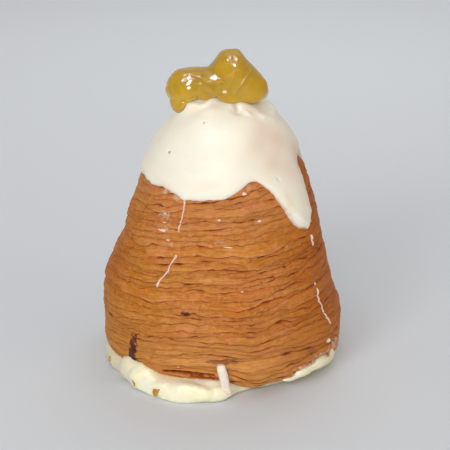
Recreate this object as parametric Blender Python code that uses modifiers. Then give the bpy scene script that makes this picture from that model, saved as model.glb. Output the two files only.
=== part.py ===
"""A bell-shaped sfogliatella: a tall bell of flaky pastry under a cap of white icing with one long drip,
two pieces of candied fruit on top, and a layer of cream that it stands on and squeezes out at its foot.

Metres, +Z up. The origin is on the bell's axis at the flat underside of the cream. The front is -Y.
An angle is counted about the axis, in degrees, from the front (-Y) towards the right (+X).
"""

import math

import bmesh
import bpy
import numpy as np
from mathutils import Vector, noise

MM = 0.001

# The bell of pastry, as radius and height up its rims: foot, belly, straight flank, shoulder and dome.
FOOT_HEIGHT = 2.0 * MM
BELL_SIDE = [
    (31.6 * MM, FOOT_HEIGHT),
    (35.4 * MM, 3.6 * MM),
    (37.5 * MM, 6.5 * MM),
    (38.1 * MM, 12.0 * MM),
    (38.1 * MM, 19.0 * MM),
    (36.5 * MM, 28.0 * MM),
    (32.7 * MM, 40.0 * MM),
    (30.3 * MM, 48.0 * MM),
    (28.0 * MM, 56.0 * MM),
    (25.0 * MM, 64.6 * MM),
    (23.1 * MM, 67.6 * MM),
    (21.0 * MM, 71.2 * MM),
    (18.8 * MM, 74.6 * MM),
    (15.8 * MM, 78.4 * MM),
    (12.2 * MM, 81.9 * MM),
    (8.0 * MM, 84.7 * MM),
    (4.0 * MM, 86.0 * MM),
    (0.0, 86.4 * MM),
]
# How far the bell's axis leans to the right, by height: it bellies to the left low down.
BELL_LEAN = [
    (FOOT_HEIGHT, 0.2 * MM),
    (16.0 * MM, 0.0),
    (22.0 * MM, -0.8 * MM),
    (28.0 * MM, -1.4 * MM),
    (34.0 * MM, -0.8 * MM),
    (42.0 * MM, 0.2 * MM),
    (54.0 * MM, 0.4 * MM),
    (64.0 * MM, 0.6 * MM),
    (80.0 * MM, 0.6 * MM),
    (86.4 * MM, 0.0),
]
BELL_COLUMNS = 46
DOME_ROWS = 7
UNEVENNESS = 0.45 * MM
LUMP_SIZE = 26 * MM

# The foot's edge is lifted off the plate over this stretch, as
# (middle angle, angle to its left end, angle to its right end, how far).
FOOT_LIFTS = [(-36.0, 66.0, 50.0, 3.2 * MM)]
FOOT_LIFT_REACH = 11 * MM

# The flaky layers show as terraces: each rim stands out, with a groove behind it.
TERRACES = 20
LOWEST_RIM = 8.0 * MM
HIGHEST_RIM = 63.5 * MM
RIM_OUT = 0.1 * MM
GROOVE_IN = 0.8 * MM
GROOVE_RISE = 0.55 * MM
RIM_WAVE = 0.9 * MM
RIM_TILT = 0.9 * MM
TILT_TOWARDS = 90.0
TERRACES_END = 66.0 * MM

# The white icing's edge all the way round, as (angle, height). It runs down in one long drip on the right of
# the front, in a broad tongue on the left, and in three shorter drips behind.
ICING_EDGE = [
    (-180.0, 66.2 * MM),
    (-166.0, 66.4 * MM),
    (-152.0, 64.0 * MM),
    (-140.0, 63.4 * MM),
    (-132.0, 64.0 * MM),
    (-124.0, 59.2 * MM),
    (-116.0, 64.0 * MM),
    (-106.0, 65.2 * MM),
    (-84.0, 63.4 * MM),
    (-62.0, 62.8 * MM),
    (-44.0, 62.9 * MM),
    (-34.0, 61.8 * MM),
    (-24.0, 60.6 * MM),
    (-8.0, 61.1 * MM),
    (3.0, 61.8 * MM),
    (12.0, 64.0 * MM),
    (20.0, 66.1 * MM),
    (28.0, 64.9 * MM),
    (35.0, 61.6 * MM),
    (40.0, 58.0 * MM),
    (44.0, 53.6 * MM),
    (49.0, 50.4 * MM),
    (55.0, 49.1 * MM),
    (59.5, 48.9 * MM),
    (63.0, 50.8 * MM),
    (65.0, 58.0 * MM),
    (68.0, 65.4 * MM),
    (75.0, 68.4 * MM),
    (92.0, 69.0 * MM),
    (106.0, 67.2 * MM),
    (112.0, 63.4 * MM),
    (118.0, 60.7 * MM),
    (124.0, 63.6 * MM),
    (134.0, 67.2 * MM),
    (146.0, 66.2 * MM),
    (153.0, 59.8 * MM),
    (160.0, 56.2 * MM),
    (167.0, 60.4 * MM),
    (172.0, 65.0 * MM),
    (180.0, 66.2 * MM),
]
ICING_THICKNESS = 1.3 * MM
DRIP_EXTRA = 0.5 * MM
EDGE_THICKNESS = 0.15 * MM
ICING_BEAD = 2.2 * MM
ICING_COLUMNS = 72
ICING_OUTER_ROWS = 8
ICING_INNER_ROWS = 8
CROWDED_AT = 58.0
CROWDING = 22.0

# The cream: how far it comes out past the foot, and how high it climbs above the foot's edge, in lobes as
# (middle angle, angle to its left end, angle to its right end, size).
CREAM_RADIUS = 32.4 * MM
CREAM_SPREAD = [
    (-28.0, 31.0, 36.0, 10.7 * MM),
    (-77.0, 21.0, 20.0, 5.7 * MM),
    (66.0, 26.0, 30.0, 3.4 * MM),
    (152.0, 34.0, 30.0, 6.0 * MM),
    (-138.0, 28.0, 26.0, 6.6 * MM),
]
CREAM_CLIMB = [
    (-55.0, 40.0, 27.0, 2.4 * MM),
    (58.0, 20.0, 28.0, 3.0 * MM),
    (152.0, 34.0, 30.0, 1.6 * MM),
    (-138.0, 28.0, 26.0, 2.2 * MM),
]
CREAM_CONTACT = 0.5 * MM
CREAM_RIPPLE = 0.35 * MM
CREAM_COLUMNS = 56
CREAM_WIDEST = 1.5 * MM
CREAM_FOOT_EDGE = 1.1 * MM

# The two pieces of candied fruit, pressed together at a cleft. Each is drawn by the height of its upper
# and lower outline along X, with how far back and forth it reaches.
CLEFT_X = -3.4 * MM
LEFT_FRUIT = {
    "top": [(-18.0, 90.4), (-16.9, 93.4), (-14.4, 96.2), (-10.0, 96.7), (-6.0, 96.7), (-2.8, 96.6)],
    "bottom": [(-18.0, 88.2), (-16.4, 85.4), (-14.6, 83.8), (-11.0, 85.6), (-6.0, 87.6), (-2.8, 88.6)],
    "middle_y": -2.2 * MM,
    "half_depth": 7.2 * MM,
}
RIGHT_FRUIT = {
    "top": [(-4.0, 96.0), (-1.6, 99.4), (1.0, 101.8), (3.4, 102.7), (5.6, 102.4), (8.4, 99.2), (11.6, 95.8),
            (14.2, 92.4), (15.0, 90.4)],
    "bottom": [(-4.0, 89.0), (-1.6, 87.0), (2.5, 85.4), (6.5, 84.8), (10.0, 85.4), (13.6, 86.8), (15.0, 88.6)],
    "middle_y": -2.4 * MM,
    "half_depth": 7.8 * MM,
}
FRUIT_SQUARENESS = 0.65
FRUIT_FOLD = 0.45 * MM
FRUIT_FOLD_SIZE = 6 * MM
FRUIT_LEVELS = 3

# Neighbours are kept this far apart, and a facet's flat middle may sag this much towards one.
GAP = 0.3 * MM
CHORD_SAG = 0.15 * MM
MERGE = 1e-6


def clear_scene():
    for obj in list(bpy.data.objects):
        bpy.data.objects.remove(obj)


def new_collection(name):
    collection = bpy.data.collections.new(name)
    bpy.context.scene.collection.children.link(collection)
    return collection


def food_material(name, colour, roughness, coat=0.0):
    material = bpy.data.materials.new(name)
    material.use_nodes = True
    shader = material.node_tree.nodes["Principled BSDF"]
    shader.inputs["Base Color"].default_value = (*colour, 1.0)
    shader.inputs["Roughness"].default_value = roughness
    shader.inputs["Metallic"].default_value = 0.0
    shader.inputs["Coat Weight"].default_value = coat
    return material


def smooth_line(points, steps):
    """A smooth curve through the points (Catmull-Rom), as an array of its own points."""
    p = np.array([points[0], *points, points[-1]], float)
    t = np.linspace(0.0, 1.0, steps, endpoint=False)[:, None]
    spans = []
    for a, b, c, d in zip(p, p[1:], p[2:], p[3:]):
        spans.append(
            0.5 * (2 * b + (c - a) * t + (2 * a - 5 * b + 4 * c - d) * t**2 + (3 * b - a - 3 * c + d) * t**3)
        )
    return np.concatenate([*spans, p[-1:]])


SIDE_LINE = smooth_line(BELL_SIDE, 24)
DOWN_LINE = SIDE_LINE[::-1]
DOWN_LENGTH = np.concatenate([[0.0], np.cumsum(np.linalg.norm(np.diff(DOWN_LINE, axis=0), axis=1))])


def side_radius(height):
    """The even bell's radius at a height."""
    return float(np.interp(height, SIDE_LINE[:, 1], SIDE_LINE[:, 0]))


def down_the_bell(length):
    """Radius, height and outward direction on the even bell, at a length down its side from the top."""
    radius = float(np.interp(length, DOWN_LENGTH, DOWN_LINE[:, 0]))
    height = float(np.interp(length, DOWN_LENGTH, DOWN_LINE[:, 1]))
    step = 0.8 * MM
    ahead = [float(np.interp(length + step, DOWN_LENGTH, DOWN_LINE[:, k])) for k in (0, 1)]
    behind = [float(np.interp(max(length - step, 0.0), DOWN_LENGTH, DOWN_LINE[:, k])) for k in (0, 1)]
    along = (ahead[0] - behind[0], ahead[1] - behind[1])
    size = math.hypot(*along)
    return radius, height, (-along[1] / size, along[0] / size)


def length_at(height):
    """Length down the side from the top to a height."""
    return float(np.interp(-height, -DOWN_LINE[:, 1], DOWN_LENGTH))


def polar(point):
    """Angle in degrees from the front, and distance from the axis."""
    return math.degrees(math.atan2(point.x, -point.y)), math.hypot(point.x, point.y)


def at(angle, radius, height):
    a = math.radians(angle)
    return Vector((radius * math.sin(a), -radius * math.cos(a), height))


def lobe(angle, middle, to_left, to_right, steep=3.4, round_end=1.3):
    """1 at the middle angle, falling to 0 at each end with steep sides."""
    away = (angle - middle + 180.0) % 360.0 - 180.0
    share = abs(away) / (to_left if away < 0 else to_right)
    return max(0.0, 1.0 - share**steep) ** round_end


def highest_lobe(angle, lobes):
    return max(size * lobe(angle, middle, left, right) for middle, left, right, size in lobes)


def lump(point, size, seed):
    """Smooth noise from about -1 to 1, with lumps of that size."""
    return noise.noise(Vector(point) / size + Vector((seed, 1.7 * seed, -seed)))


def turned(name, profile, columns):
    """A closed body turned about +Z from a profile of (radius, height) that runs down its outer side."""
    mesh = bpy.data.meshes.new(name)
    points = [(radius, 0.0, height) for radius, height in profile]
    mesh.from_pydata(points, [(i, i + 1) for i in range(len(points) - 1)], [])
    lathe = bpy.data.objects.new(name + "_lathe", mesh)
    bpy.context.scene.collection.objects.link(lathe)
    screw = lathe.modifiers.new("Screw", "SCREW")
    screw.steps = columns
    screw.render_steps = columns
    screw.use_merge_vertices = True
    screw.merge_threshold = MERGE
    screw.use_smooth_shade = True
    graph = bpy.context.evaluated_depsgraph_get()
    made = bpy.data.meshes.new_from_object(lathe.evaluated_get(graph))
    bpy.data.objects.remove(lathe)
    made.name = name
    return made


def add_part(mesh, name, collection, material):
    obj = bpy.data.objects.new(name, mesh)
    collection.objects.link(obj)
    obj.data.materials.append(material)
    return obj


def relief_share(height):
    """How much of the terraces' relief is left: none under the icing's dome and none at the foot."""
    fade_top = min(1.0, max(0.0, (TERRACES_END - height) / (5 * MM)))
    fade_foot = min(1.0, max(0.0, (height - FOOT_HEIGHT) / (4 * MM)))
    return fade_top * fade_foot


def uneven_radius(angle, height):
    """The bell isn't quite round: it leans, and has low, broad lumps that fade out at its foot and dome."""
    here = at(angle, side_radius(height), height)
    lean = float(np.interp(height, [h for h, _ in BELL_LEAN], [over for _, over in BELL_LEAN]))
    return side_radius(height) + lean * math.sin(math.radians(angle)) + UNEVENNESS * lump(here, LUMP_SIZE, 3.0) * relief_share(height)


def clear_of_rims(height):
    """How far from the bell a neighbour stays, so that no rim touches it."""
    lift = RIM_WAVE + RIM_TILT
    share = max(relief_share(height - lift), relief_share(height + lift))
    return GAP + CHORD_SAG + share * RIM_OUT


def foot_lift(angle, height=FOOT_HEIGHT):
    """How far the pastry is pushed up at an angle: fully at its foot, fading out above."""
    left = max(0.0, 1.0 - (height - FOOT_HEIGHT) / FOOT_LIFT_REACH)
    return highest_lobe(angle, FOOT_LIFTS) * left**2


def under_height(angle, share):
    """Height of the pastry's underside at a share of the way out to the foot's edge."""
    return FOOT_HEIGHT + foot_lift(angle) * min(1.0, share) ** 3


def foot_radius(angle):
    return uneven_radius(angle, under_height(angle, 1.0))


def bell_profile():
    """Dome, terraces and foot, from the top of the axis to its bottom."""
    rows = []
    start = length_at(HIGHEST_RIM + 3 * MM)
    for i in range(DOME_ROWS):
        radius, height, _ = down_the_bell(start * i / (DOME_ROWS - 1))
        rows.append((radius, height))
    for height in np.linspace(HIGHEST_RIM, LOWEST_RIM, TERRACES):
        groove = height + GROOVE_RISE
        rows.append((side_radius(groove) - GROOVE_IN, groove))
        rows.append((side_radius(height) + RIM_OUT, height))
    rows += [(side_radius(h), h) for h in (5.8 * MM, 4.0 * MM, 2.8 * MM, FOOT_HEIGHT)]
    rows += [(0.5 * side_radius(FOOT_HEIGHT), FOOT_HEIGHT), (0.0, FOOT_HEIGHT)]
    return rows


def make_bell(collection, material):
    mesh = turned("pastry_shell", bell_profile(), BELL_COLUMNS)
    foot = side_radius(FOOT_HEIGHT)
    for vertex in mesh.vertices:
        angle, radius = polar(vertex.co)
        height = vertex.co.z
        if height < FOOT_HEIGHT + MERGE:
            lifted = under_height(angle, radius / foot)
        else:
            tilt = RIM_TILT * math.cos(math.radians(angle - TILT_TOWARDS))
            wave = RIM_WAVE * lump(at(angle, 30 * MM, 0.35 * height), 15 * MM, 8.0)
            lifted = height + relief_share(height) * (tilt + wave) + foot_lift(angle, height)
        relief = radius - side_radius(height)
        if height < FOOT_HEIGHT + MERGE and radius < foot - MERGE:
            vertex.co = at(angle, radius, lifted)
        else:
            vertex.co = at(angle, uneven_radius(angle, lifted) + relief, lifted)
    return add_part(mesh, "pastry_shell", collection, material)


def icing_edge_height(angle):
    turned_back = (angle + 180.0) % 360.0 - 180.0
    return float(np.interp(turned_back, [a for a, _ in ICING_EDGE], [height for _, height in ICING_EDGE]))


def drip_share(angle, height):
    """1 in the thick end of the long drip and 0 elsewhere."""
    return lobe(angle, 56.0, 20.0, 16.0) * min(1.0, max(0.0, (65 * MM - height) / (12 * MM)))


def crowded(angle):
    """Draws the columns together about the long drip, whose edge is steep."""
    return angle - CROWDING * math.sin(math.radians(angle - CROWDED_AT))


def make_icing(collection, material):
    """A cap with a rounded bead along its edge: outer rows from the top to the edge, then inner rows back."""
    outer = [i / ICING_OUTER_ROWS for i in range(ICING_OUTER_ROWS + 1)]
    inner = [1.0 - (i + 1) / ICING_INNER_ROWS for i in range(ICING_INNER_ROWS)]
    flat = [(share, 1.0) for share in outer] + [(share, -1.0) for share in inner]
    mesh = turned("white_icing", flat, ICING_COLUMNS)
    for vertex in mesh.vertices:
        angle, share = polar(vertex.co)
        angle = crowded(angle)
        is_outer = vertex.co.z > 0
        edge = length_at(icing_edge_height(angle))
        if is_outer:
            share = min(1.0, share) ** 0.8
        radius, height, (out_r, out_z) = down_the_bell(share * edge)
        stand_off = clear_of_rims(height) + uneven_radius(angle, height) - side_radius(height)
        if is_outer:
            from_edge = min(1.0, (1.0 - share) * edge / ICING_BEAD)
            bead = math.sqrt(1.0 - (1.0 - from_edge) ** 2)
            stand_off += EDGE_THICKNESS + bead * (ICING_THICKNESS + DRIP_EXTRA * drip_share(angle, height))
        vertex.co = at(angle, radius + stand_off * out_r, height + stand_off * out_z)
    return add_part(mesh, "white_icing", collection, material)


def icing_top_height(distance):
    """Height of the icing's outer dome at a distance from the axis."""
    rows = [down_the_bell(length) for length in np.linspace(0.0, DOWN_LENGTH[-1] * 0.45, 60)]
    stand_off = GAP + CHORD_SAG + EDGE_THICKNESS + ICING_THICKNESS
    radii = [radius + stand_off * out_r for radius, _, (out_r, _) in rows]
    heights = [height + stand_off * out_z for _, height, (_, out_z) in rows]
    return float(np.interp(distance, radii, heights))


def cage_ball(name):
    """A ball of radius 1 from a subdivided cube."""
    mesh = bpy.data.meshes.new(name)
    cage = bmesh.new()
    bmesh.ops.create_cube(cage, size=2.0)
    cage.to_mesh(mesh)
    cage.free()
    block = bpy.data.objects.new(name + "_cage", mesh)
    bpy.context.scene.collection.objects.link(block)
    subdivide = block.modifiers.new("Subdivision", "SUBSURF")
    subdivide.levels = FRUIT_LEVELS
    subdivide.render_levels = FRUIT_LEVELS
    made = bpy.data.meshes.new_from_object(block.evaluated_get(bpy.context.evaluated_depsgraph_get()))
    bpy.data.objects.remove(block)
    for vertex in made.vertices:
        vertex.co.normalize()
    made.name = name
    return made


def outline_height(outline, x):
    return float(np.interp(x, [p[0] * MM for p in outline], [p[1] * MM for p in outline]))


def make_fruit(name, fruit, cleft_side, seed, collection, material):
    """A soft lump between its upper and lower outline, resting on the icing and flat against the cleft.

    cleft_side is 1 for the piece at the cleft's right and -1 for the one at its left.
    """
    mesh = cage_ball(name)
    left, right = fruit["top"][0][0] * MM, fruit["top"][-1][0] * MM
    for vertex in mesh.vertices:
        across, back, up = vertex.co
        x = (left + right) / 2 + across * (right - left) / 2
        top, bottom = outline_height(fruit["top"], x), outline_height(fruit["bottom"], x)
        girth = math.sqrt(max(1e-6, 1.0 - across * across))
        rise = math.copysign(abs(up / girth) ** FRUIT_SQUARENESS, up)
        z = (top + bottom) / 2 + rise * (top - bottom) / 2
        y = fruit["middle_y"] + back * fruit["half_depth"]
        point = Vector((x, y, z))
        point.z += FRUIT_FOLD * lump(point, FRUIT_FOLD_SIZE, seed)
        _, distance = polar(point)
        point.z = max(point.z, icing_top_height(distance) + GAP)
        cleft = CLEFT_X + cleft_side * GAP / 2
        point.x = max(point.x, cleft) if cleft_side > 0 else min(point.x, cleft)
        vertex.co = point
    return add_part(mesh, name, collection, material)


def cream_rows():
    """The cream's rows down its outer side, as (part of it, share): top, round the foot, bulge and flat base."""
    rows = [("under_bell", share) for share in (0.0, 0.5, 0.8, 1.0)]
    rows += [("round_foot", share) for share in (0.4, 0.75, 1.0)]
    rows += [("bulge", share) for share in (0.25, 0.5, 0.75, 1.0)]
    rows += [("base", share) for share in (1.0, 0.5, 0.0)]
    return rows


def cream_point(angle, part, share):
    """Radius and height of one row of the cream at an angle."""
    foot = foot_radius(angle)
    under = under_height(angle, 1.0) - GAP
    if part == "under_bell":
        return share * foot, under_height(angle, share) - GAP - CHORD_SAG * (1.0 - share)
    contact = under + GAP + CREAM_CONTACT + highest_lobe(angle, CREAM_CLIMB)
    if part == "round_foot":
        height = under + share * (contact - under)
        return uneven_radius(angle, height) + clear_of_rims(height), height
    inner = uneven_radius(angle, contact) + clear_of_rims(contact)
    ripple = CREAM_RIPPLE * lump(at(angle, 38 * MM, 0.0), 6 * MM, 6.0)
    outer = max(CREAM_RADIUS + highest_lobe(angle, CREAM_SPREAD) + ripple, inner + 0.4 * MM)
    if part == "bulge":
        turn = share * math.pi / 2
        radius = inner + (outer - inner) * math.sin(turn)
        return radius, CREAM_WIDEST + (contact - CREAM_WIDEST) * math.cos(turn) ** 0.9
    return share * (outer - CREAM_FOOT_EDGE), 0.0


def make_cream(collection, material):
    rows = cream_rows()
    flat = [(0.0, 0.0)] + [(1.0, -float(i)) for i in range(1, len(rows) - 1)] + [(0.0, -float(len(rows) - 1))]
    mesh = turned("cream_filling", flat, CREAM_COLUMNS)
    for vertex in mesh.vertices:
        angle, _ = polar(vertex.co)
        part, share = rows[round(-vertex.co.z)]
        radius, height = cream_point(angle, part, share)
        vertex.co = at(angle, radius, height)
    return add_part(mesh, "cream_filling", collection, material)


def main():
    clear_scene()
    sfogliatella = new_collection("sfogliatella")
    pastry = food_material("baked_pastry", (0.49, 0.19, 0.05), 0.5)
    icing = food_material("white_icing", (0.93, 0.88, 0.74), 0.35)
    left_fruit = food_material("candied_fruit_left", (0.52, 0.31, 0.035), 0.15, coat=1.0)
    right_fruit = food_material("candied_fruit_right", (0.52, 0.31, 0.04), 0.15, coat=1.0)
    cream = food_material("cream", (0.95, 0.89, 0.62), 0.45)
    make_bell(sfogliatella, pastry)
    make_icing(sfogliatella, icing)
    make_fruit("candied_fruit_left", LEFT_FRUIT, -1, 2.0, sfogliatella, left_fruit)
    make_fruit("candied_fruit_right", RIGHT_FRUIT, 1, 4.0, sfogliatella, right_fruit)
    make_cream(sfogliatella, cream)


main()
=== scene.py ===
"""Dresses the sfogliatella: wound flaky layers, poured icing, candied fruit and squeezed-out cream.

Sizes in the lists are millimetres and degrees. Angles run from the front, growing to the right.
"""

import math

import bmesh
import bpy
import numpy as np
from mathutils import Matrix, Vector
from mathutils.bvhtree import BVHTree


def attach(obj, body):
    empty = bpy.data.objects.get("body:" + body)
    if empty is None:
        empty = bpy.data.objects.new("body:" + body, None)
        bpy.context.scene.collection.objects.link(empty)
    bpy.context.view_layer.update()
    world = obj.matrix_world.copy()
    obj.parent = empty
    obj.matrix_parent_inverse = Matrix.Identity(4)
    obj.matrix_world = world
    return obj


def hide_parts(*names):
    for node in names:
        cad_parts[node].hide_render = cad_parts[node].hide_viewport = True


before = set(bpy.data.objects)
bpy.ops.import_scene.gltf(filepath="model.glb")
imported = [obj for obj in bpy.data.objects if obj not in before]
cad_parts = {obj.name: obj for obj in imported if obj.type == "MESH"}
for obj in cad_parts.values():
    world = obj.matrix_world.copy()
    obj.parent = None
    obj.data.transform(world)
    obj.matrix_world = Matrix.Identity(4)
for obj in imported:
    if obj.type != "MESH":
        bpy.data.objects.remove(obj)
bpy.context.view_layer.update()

MM = 0.001

# The bell: height and radius of its side at the layers' rims, and how far its axis leans to the right.
BELL_SIDE = [
    (2.0, 31.8), (3.0, 34.6), (4.5, 36.8), (7.0, 38.0), (10.0, 38.3), (14.0, 38.3), (18.0, 38.3),
    (20.5, 38.1), (24.0, 37.3), (28.0, 36.6), (32.0, 35.5), (36.0, 34.2), (40.0, 32.8), (44.0, 31.3),
    (48.0, 30.4), (52.0, 29.4), (56.0, 28.1), (60.0, 26.9), (64.0, 25.5), (66.0, 24.6), (68.0, 23.3),
    (70.0, 22.4), (72.0, 21.6), (74.0, 20.4), (76.0, 19.1), (78.0, 17.5), (80.0, 15.6), (82.0, 13.2),
    (84.0, 9.9), (85.4, 6.4), (86.3, 3.0), (86.6, 0.0),
]
BELL_LEAN = [
    (2.0, 0.3), (8.0, 0.0), (16.0, 0.0), (20.0, -0.6), (24.0, -1.1), (28.0, -1.5), (32.0, -1.2), (36.0, -0.6),
    (40.0, -0.2), (44.0, 0.4), (50.0, 0.3), (54.0, 0.45), (60.0, 0.55), (64.0, 0.7), (70.0, 0.4), (76.0, 0.7),
    (82.0, 0.8), (86.6, 0.0),
]
FOOT_LIFT = (-36.0, 66.0, 50.0, 3.2)  # middle, reach to the left and to the right, rise
FOOT_LIFT_REACH = 11.0

# The wound layers.
LAYERS = 42
LAYERS_END = 71.0
LAYER_COLUMNS = 760
LAYER_SEED = 7
FACE_SHARES = np.array([0.0, 0.06, 0.16, 0.36, 0.62, 0.84, 0.95, 1.0])
ARCH, ARCH_MIDDLE = 3.8, 86.0
LENS = 0.16
FAINT_GAP, OPEN_GAP = 0.07, 0.28
FAINT_GROOVE, OPEN_GROOVE = 0.10, 0.80
FAINT_STEP, OPEN_STEP = 0.14, 0.46
# Seams that stand wide open: angle, height, reach in degrees, gap, depth.
OPEN_SEAMS = [
    (-12, 60.4, 11, 0.6, 1.7), (7, 61.6, 8, 0.35, 1.0), (-4, 53.2, 11, 0.3, 1.1), (14, 54.4, 10, 0.3, 1.1),
    (-44, 57.5, 9, 0.25, 0.9), (-29, 41.0, 13, 0.35, 1.2), (-17, 36.3, 8, 0.35, 1.1), (-37, 35.4, 7, 0.2, 0.9),
    (2, 44.6, 9, 0.25, 0.9), (22, 45.8, 9, 0.25, 1.0), (-16, 26.8, 9, 0.3, 1.1), (-38, 29.6, 12, 0.2, 0.9),
    (24, 29.4, 10, 0.3, 1.1), (38, 34.6, 10, 0.25, 1.0), (52, 41.6, 9, 0.25, 1.0), (13, 22.0, 9, 0.25, 1.0),
    (30, 22.6, 7, 0.5, 1.6), (-40, 17.6, 11, 0.25, 0.9), (2, 14.6, 12, 0.25, 1.0), (34, 14.0, 14, 0.3, 1.0),
    (20, 4.6, 9, 0.4, 1.4), (34, 5.6, 10, 0.4, 1.4), (10, 6.2, 8, 0.4, 1.4), (23, 7.4, 9, 0.4, 1.4), (34, 8.8, 9, 0.4, 1.4), (42, 10.4, 8, 0.35, 1.2),
    (-8, 8.8, 9, 0.3, 1.2), (47, 8.2, 8, 0.35, 1.2), (48, 12.2, 16, 0.35, 1.1), (60, 24.6, 12, 0.25, 1.0), (66, 33.0, 10, 0.25, 1.0), (-70, 14.0, 12, 0.25, 0.8),
    (128, 44.0, 13, 0.4, 1.2), (176, 30.0, 15, 0.4, 1.2), (-142, 38.0, 13, 0.4, 1.2), (-118, 22.0, 14, 0.35, 1.1),
    (150, 15.0, 14, 0.35, 1.1), (-170, 52.0, 12, 0.35, 1.1), (100, 28.0, 12, 0.35, 1.1), (112, 58.0, 10, 0.3, 1.0),
]
# Flakes that push the layers above them up into an arch: angle, height, reach in degrees, rise.
ARCHED_FLAKES = [
    (30, 20.4, 6.0, 1.7), (-17, 22.4, 4.0, 1.0), (16, 24.0, 6.0, 0.8), (-72, 30.0, 9.0, 1.2), (-12, 41.6, 3.4, 0.8),
    (66, 9.0, 6.0, 1.4), (14, 5.4, 9.0, -1.5), (104, 36.0, 7.0, 1.4), (140, 24.0, 6.0, 1.5), (-160, 34.0, 7.0, 1.4), (-128, 48.0, 6.0, 1.1),
]
# Edges where a sheet stops and the next begins: angle, lowest and highest height, slant in degrees, step outwards.
SHEET_ENDS = [
    (-59.5, 49.0, 57.0, 6.0, -0.5), (-68.0, 39.0, 46.0, 4.0, -0.45), (-47.0, 51.0, 54.0, 2.0, -0.3), (-55.0, 33.0, 37.0, -3.0, -0.3), (-25.0, 27.2, 30.6, 0.5, 0.3),
    (-10.8, 28.2, 31.0, 1.0, -0.3), (-12.0, 20.4, 22.8, -1.0, 0.3), (12.4, 37.8, 41.4, 2.5, 0.5), (41.0, 12.0, 15.4, 0.0, 0.3),
    (-1.0, 30.4, 33.4, 1.0, 0.3), (27.0, 31.0, 34.2, 1.0, -0.3), (-34.0, 9.6, 15.0, 3.0, 0.4), (21.0, 56.0, 60.0, 2.0, 0.3),
    (-32.0, 45.0, 48.6, 1.0, 0.2), (50.0, 26.0, 29.0, -2.0, 0.3), (33.0, 44.0, 47.0, 2.0, 0.4), (-6.0, 47.6, 50.2, -2.0, 0.35),
    (118.0, 40.0, 45.0, 3.0, 0.4), (-140.0, 22.0, 26.0, 2.0, 0.35), (165.0, 52.0, 57.0, -3.0, -0.4), (95.0, 12.0, 16.0, 2.0, 0.3),
]
# Broad smooth sheets: angle, height, half width, half height, how far they stand out.
SMOOTH_SHEETS = [
    (-71, 50.5, 17, 6.4, 0.3), (-70, 61.0, 17, 3.6, 0.22), (-78, 36.0, 22, 6.0, 0.15), (-66, 26.0, 10, 3.0, 0.15),
    (-18, 37.6, 26, 1.9, 0.1), (-8, 24.0, 9, 2.0, 0.08), (44, 17.0, 17, 1.8, 0.15), (10, 56.6, 20, 1.8, 0.1),
    (-150, 56.0, 16, 5.0, 0.2), (118, 54.0, 14, 5.0, 0.25), (160, 38.0, 20, 3.0, 0.15), (-120, 34.0, 16, 3.0, 0.15),
]
# Hollows at the foot: angle, height, half width, half height, lean, depth.
FOOT_HOLLOWS = [
    (-17.0, 7.9, 13.0, 0.8, 0.0, 2.4), (-8.0, 6.5, 9.0, 0.55, 0.0, 1.6), (2.0, 5.4, 8.0, 0.4, 0.0, 1.2),
    (57.0, 7.4, 6.0, 0.6, 4.0, 1.3), (72.0, 5.6, 7.0, 0.6, -4.0, 1.3), (44.0, 4.6, 6.0, 0.5, 0.0, 1.1),
    (130.0, 5.0, 12.0, 0.7, 0.0, 1.6), (-120.0, 6.4, 10.0, 0.7, 0.0, 1.6), (170.0, 5.4, 10.0, 0.6, 0.0, 1.4),
]


def lobe(angle, middle, to_left, to_right, steep=3.4, round_end=1.3):
    """1 at the middle angle, falling to 0 at each end with steep sides."""
    away = (angle - middle + 180.0) % 360.0 - 180.0
    share = np.abs(away) / np.where(away < 0, to_left, to_right)
    return np.maximum(0.0, 1.0 - share**steep) ** round_end


def bump(value, middle, reach):
    """A soft hump of height 1."""
    return np.exp(-(((value - middle) / reach) ** 2))


def turn_bump(angle, middle, reach):
    return np.exp(-((((angle - middle + 180.0) % 360.0 - 180.0) / reach) ** 2))


def ramp(value, start, end):
    share = np.clip((value - start) / (end - start), 0.0, 1.0)
    return share * share * (3.0 - 2.0 * share)


def waves(angle, height, turns, length, count, seed):
    """Smooth unevenness of about one either way that closes on itself round the bell."""
    rng = np.random.default_rng(seed)
    around = rng.integers(turns[0], turns[1] + 1, count)
    up = rng.uniform(-1.0, 1.0, count) * 2 * math.pi / length
    phase = rng.uniform(0.0, 2 * math.pi, count)
    total = 0.0
    for n, m, p in zip(around, up, phase):
        total = total + np.cos(n * np.radians(angle) + m * height + p)
    return total * math.sqrt(2.0 / count)


def smooth_line(points, steps=16):
    """A smooth curve through the points (Catmull-Rom), as an array of its own points."""
    p = np.array([points[0], *points, points[-1]], float)
    t = np.linspace(0.0, 1.0, steps, endpoint=False)[:, None]
    spans = [
        0.5 * (2 * b + (c - a) * t + (2 * a - 5 * b + 4 * c - d) * t**2 + (3 * b - a - 3 * c + d) * t**3)
        for a, b, c, d in zip(p, p[1:], p[2:], p[3:])
    ]
    return np.concatenate([*spans, p[-1:]])


SIDE_LINE = smooth_line(BELL_SIDE)
LEAN_LINE = smooth_line(BELL_LEAN)
DOWN_LINE = SIDE_LINE[::-1]
DOWN_LENGTH = np.concatenate([[0.0], np.cumsum(np.hypot(*np.diff(DOWN_LINE, axis=0).T))])


def foot_lift(angle, height):
    middle, left, right, rise = FOOT_LIFT
    fade = np.clip(1.0 - (height - 2.0) / FOOT_LIFT_REACH, 0.0, 1.0) ** 2
    return rise * lobe(angle, middle, left, right) * fade


def bell_radius(angle, height):
    """Radius of the bell's side, with its lean to one side."""
    lean = np.interp(height, LEAN_LINE[:, 0], LEAN_LINE[:, 1])
    return np.interp(height, SIDE_LINE[:, 0], SIDE_LINE[:, 1]) + lean * np.sin(np.radians(angle))


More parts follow.
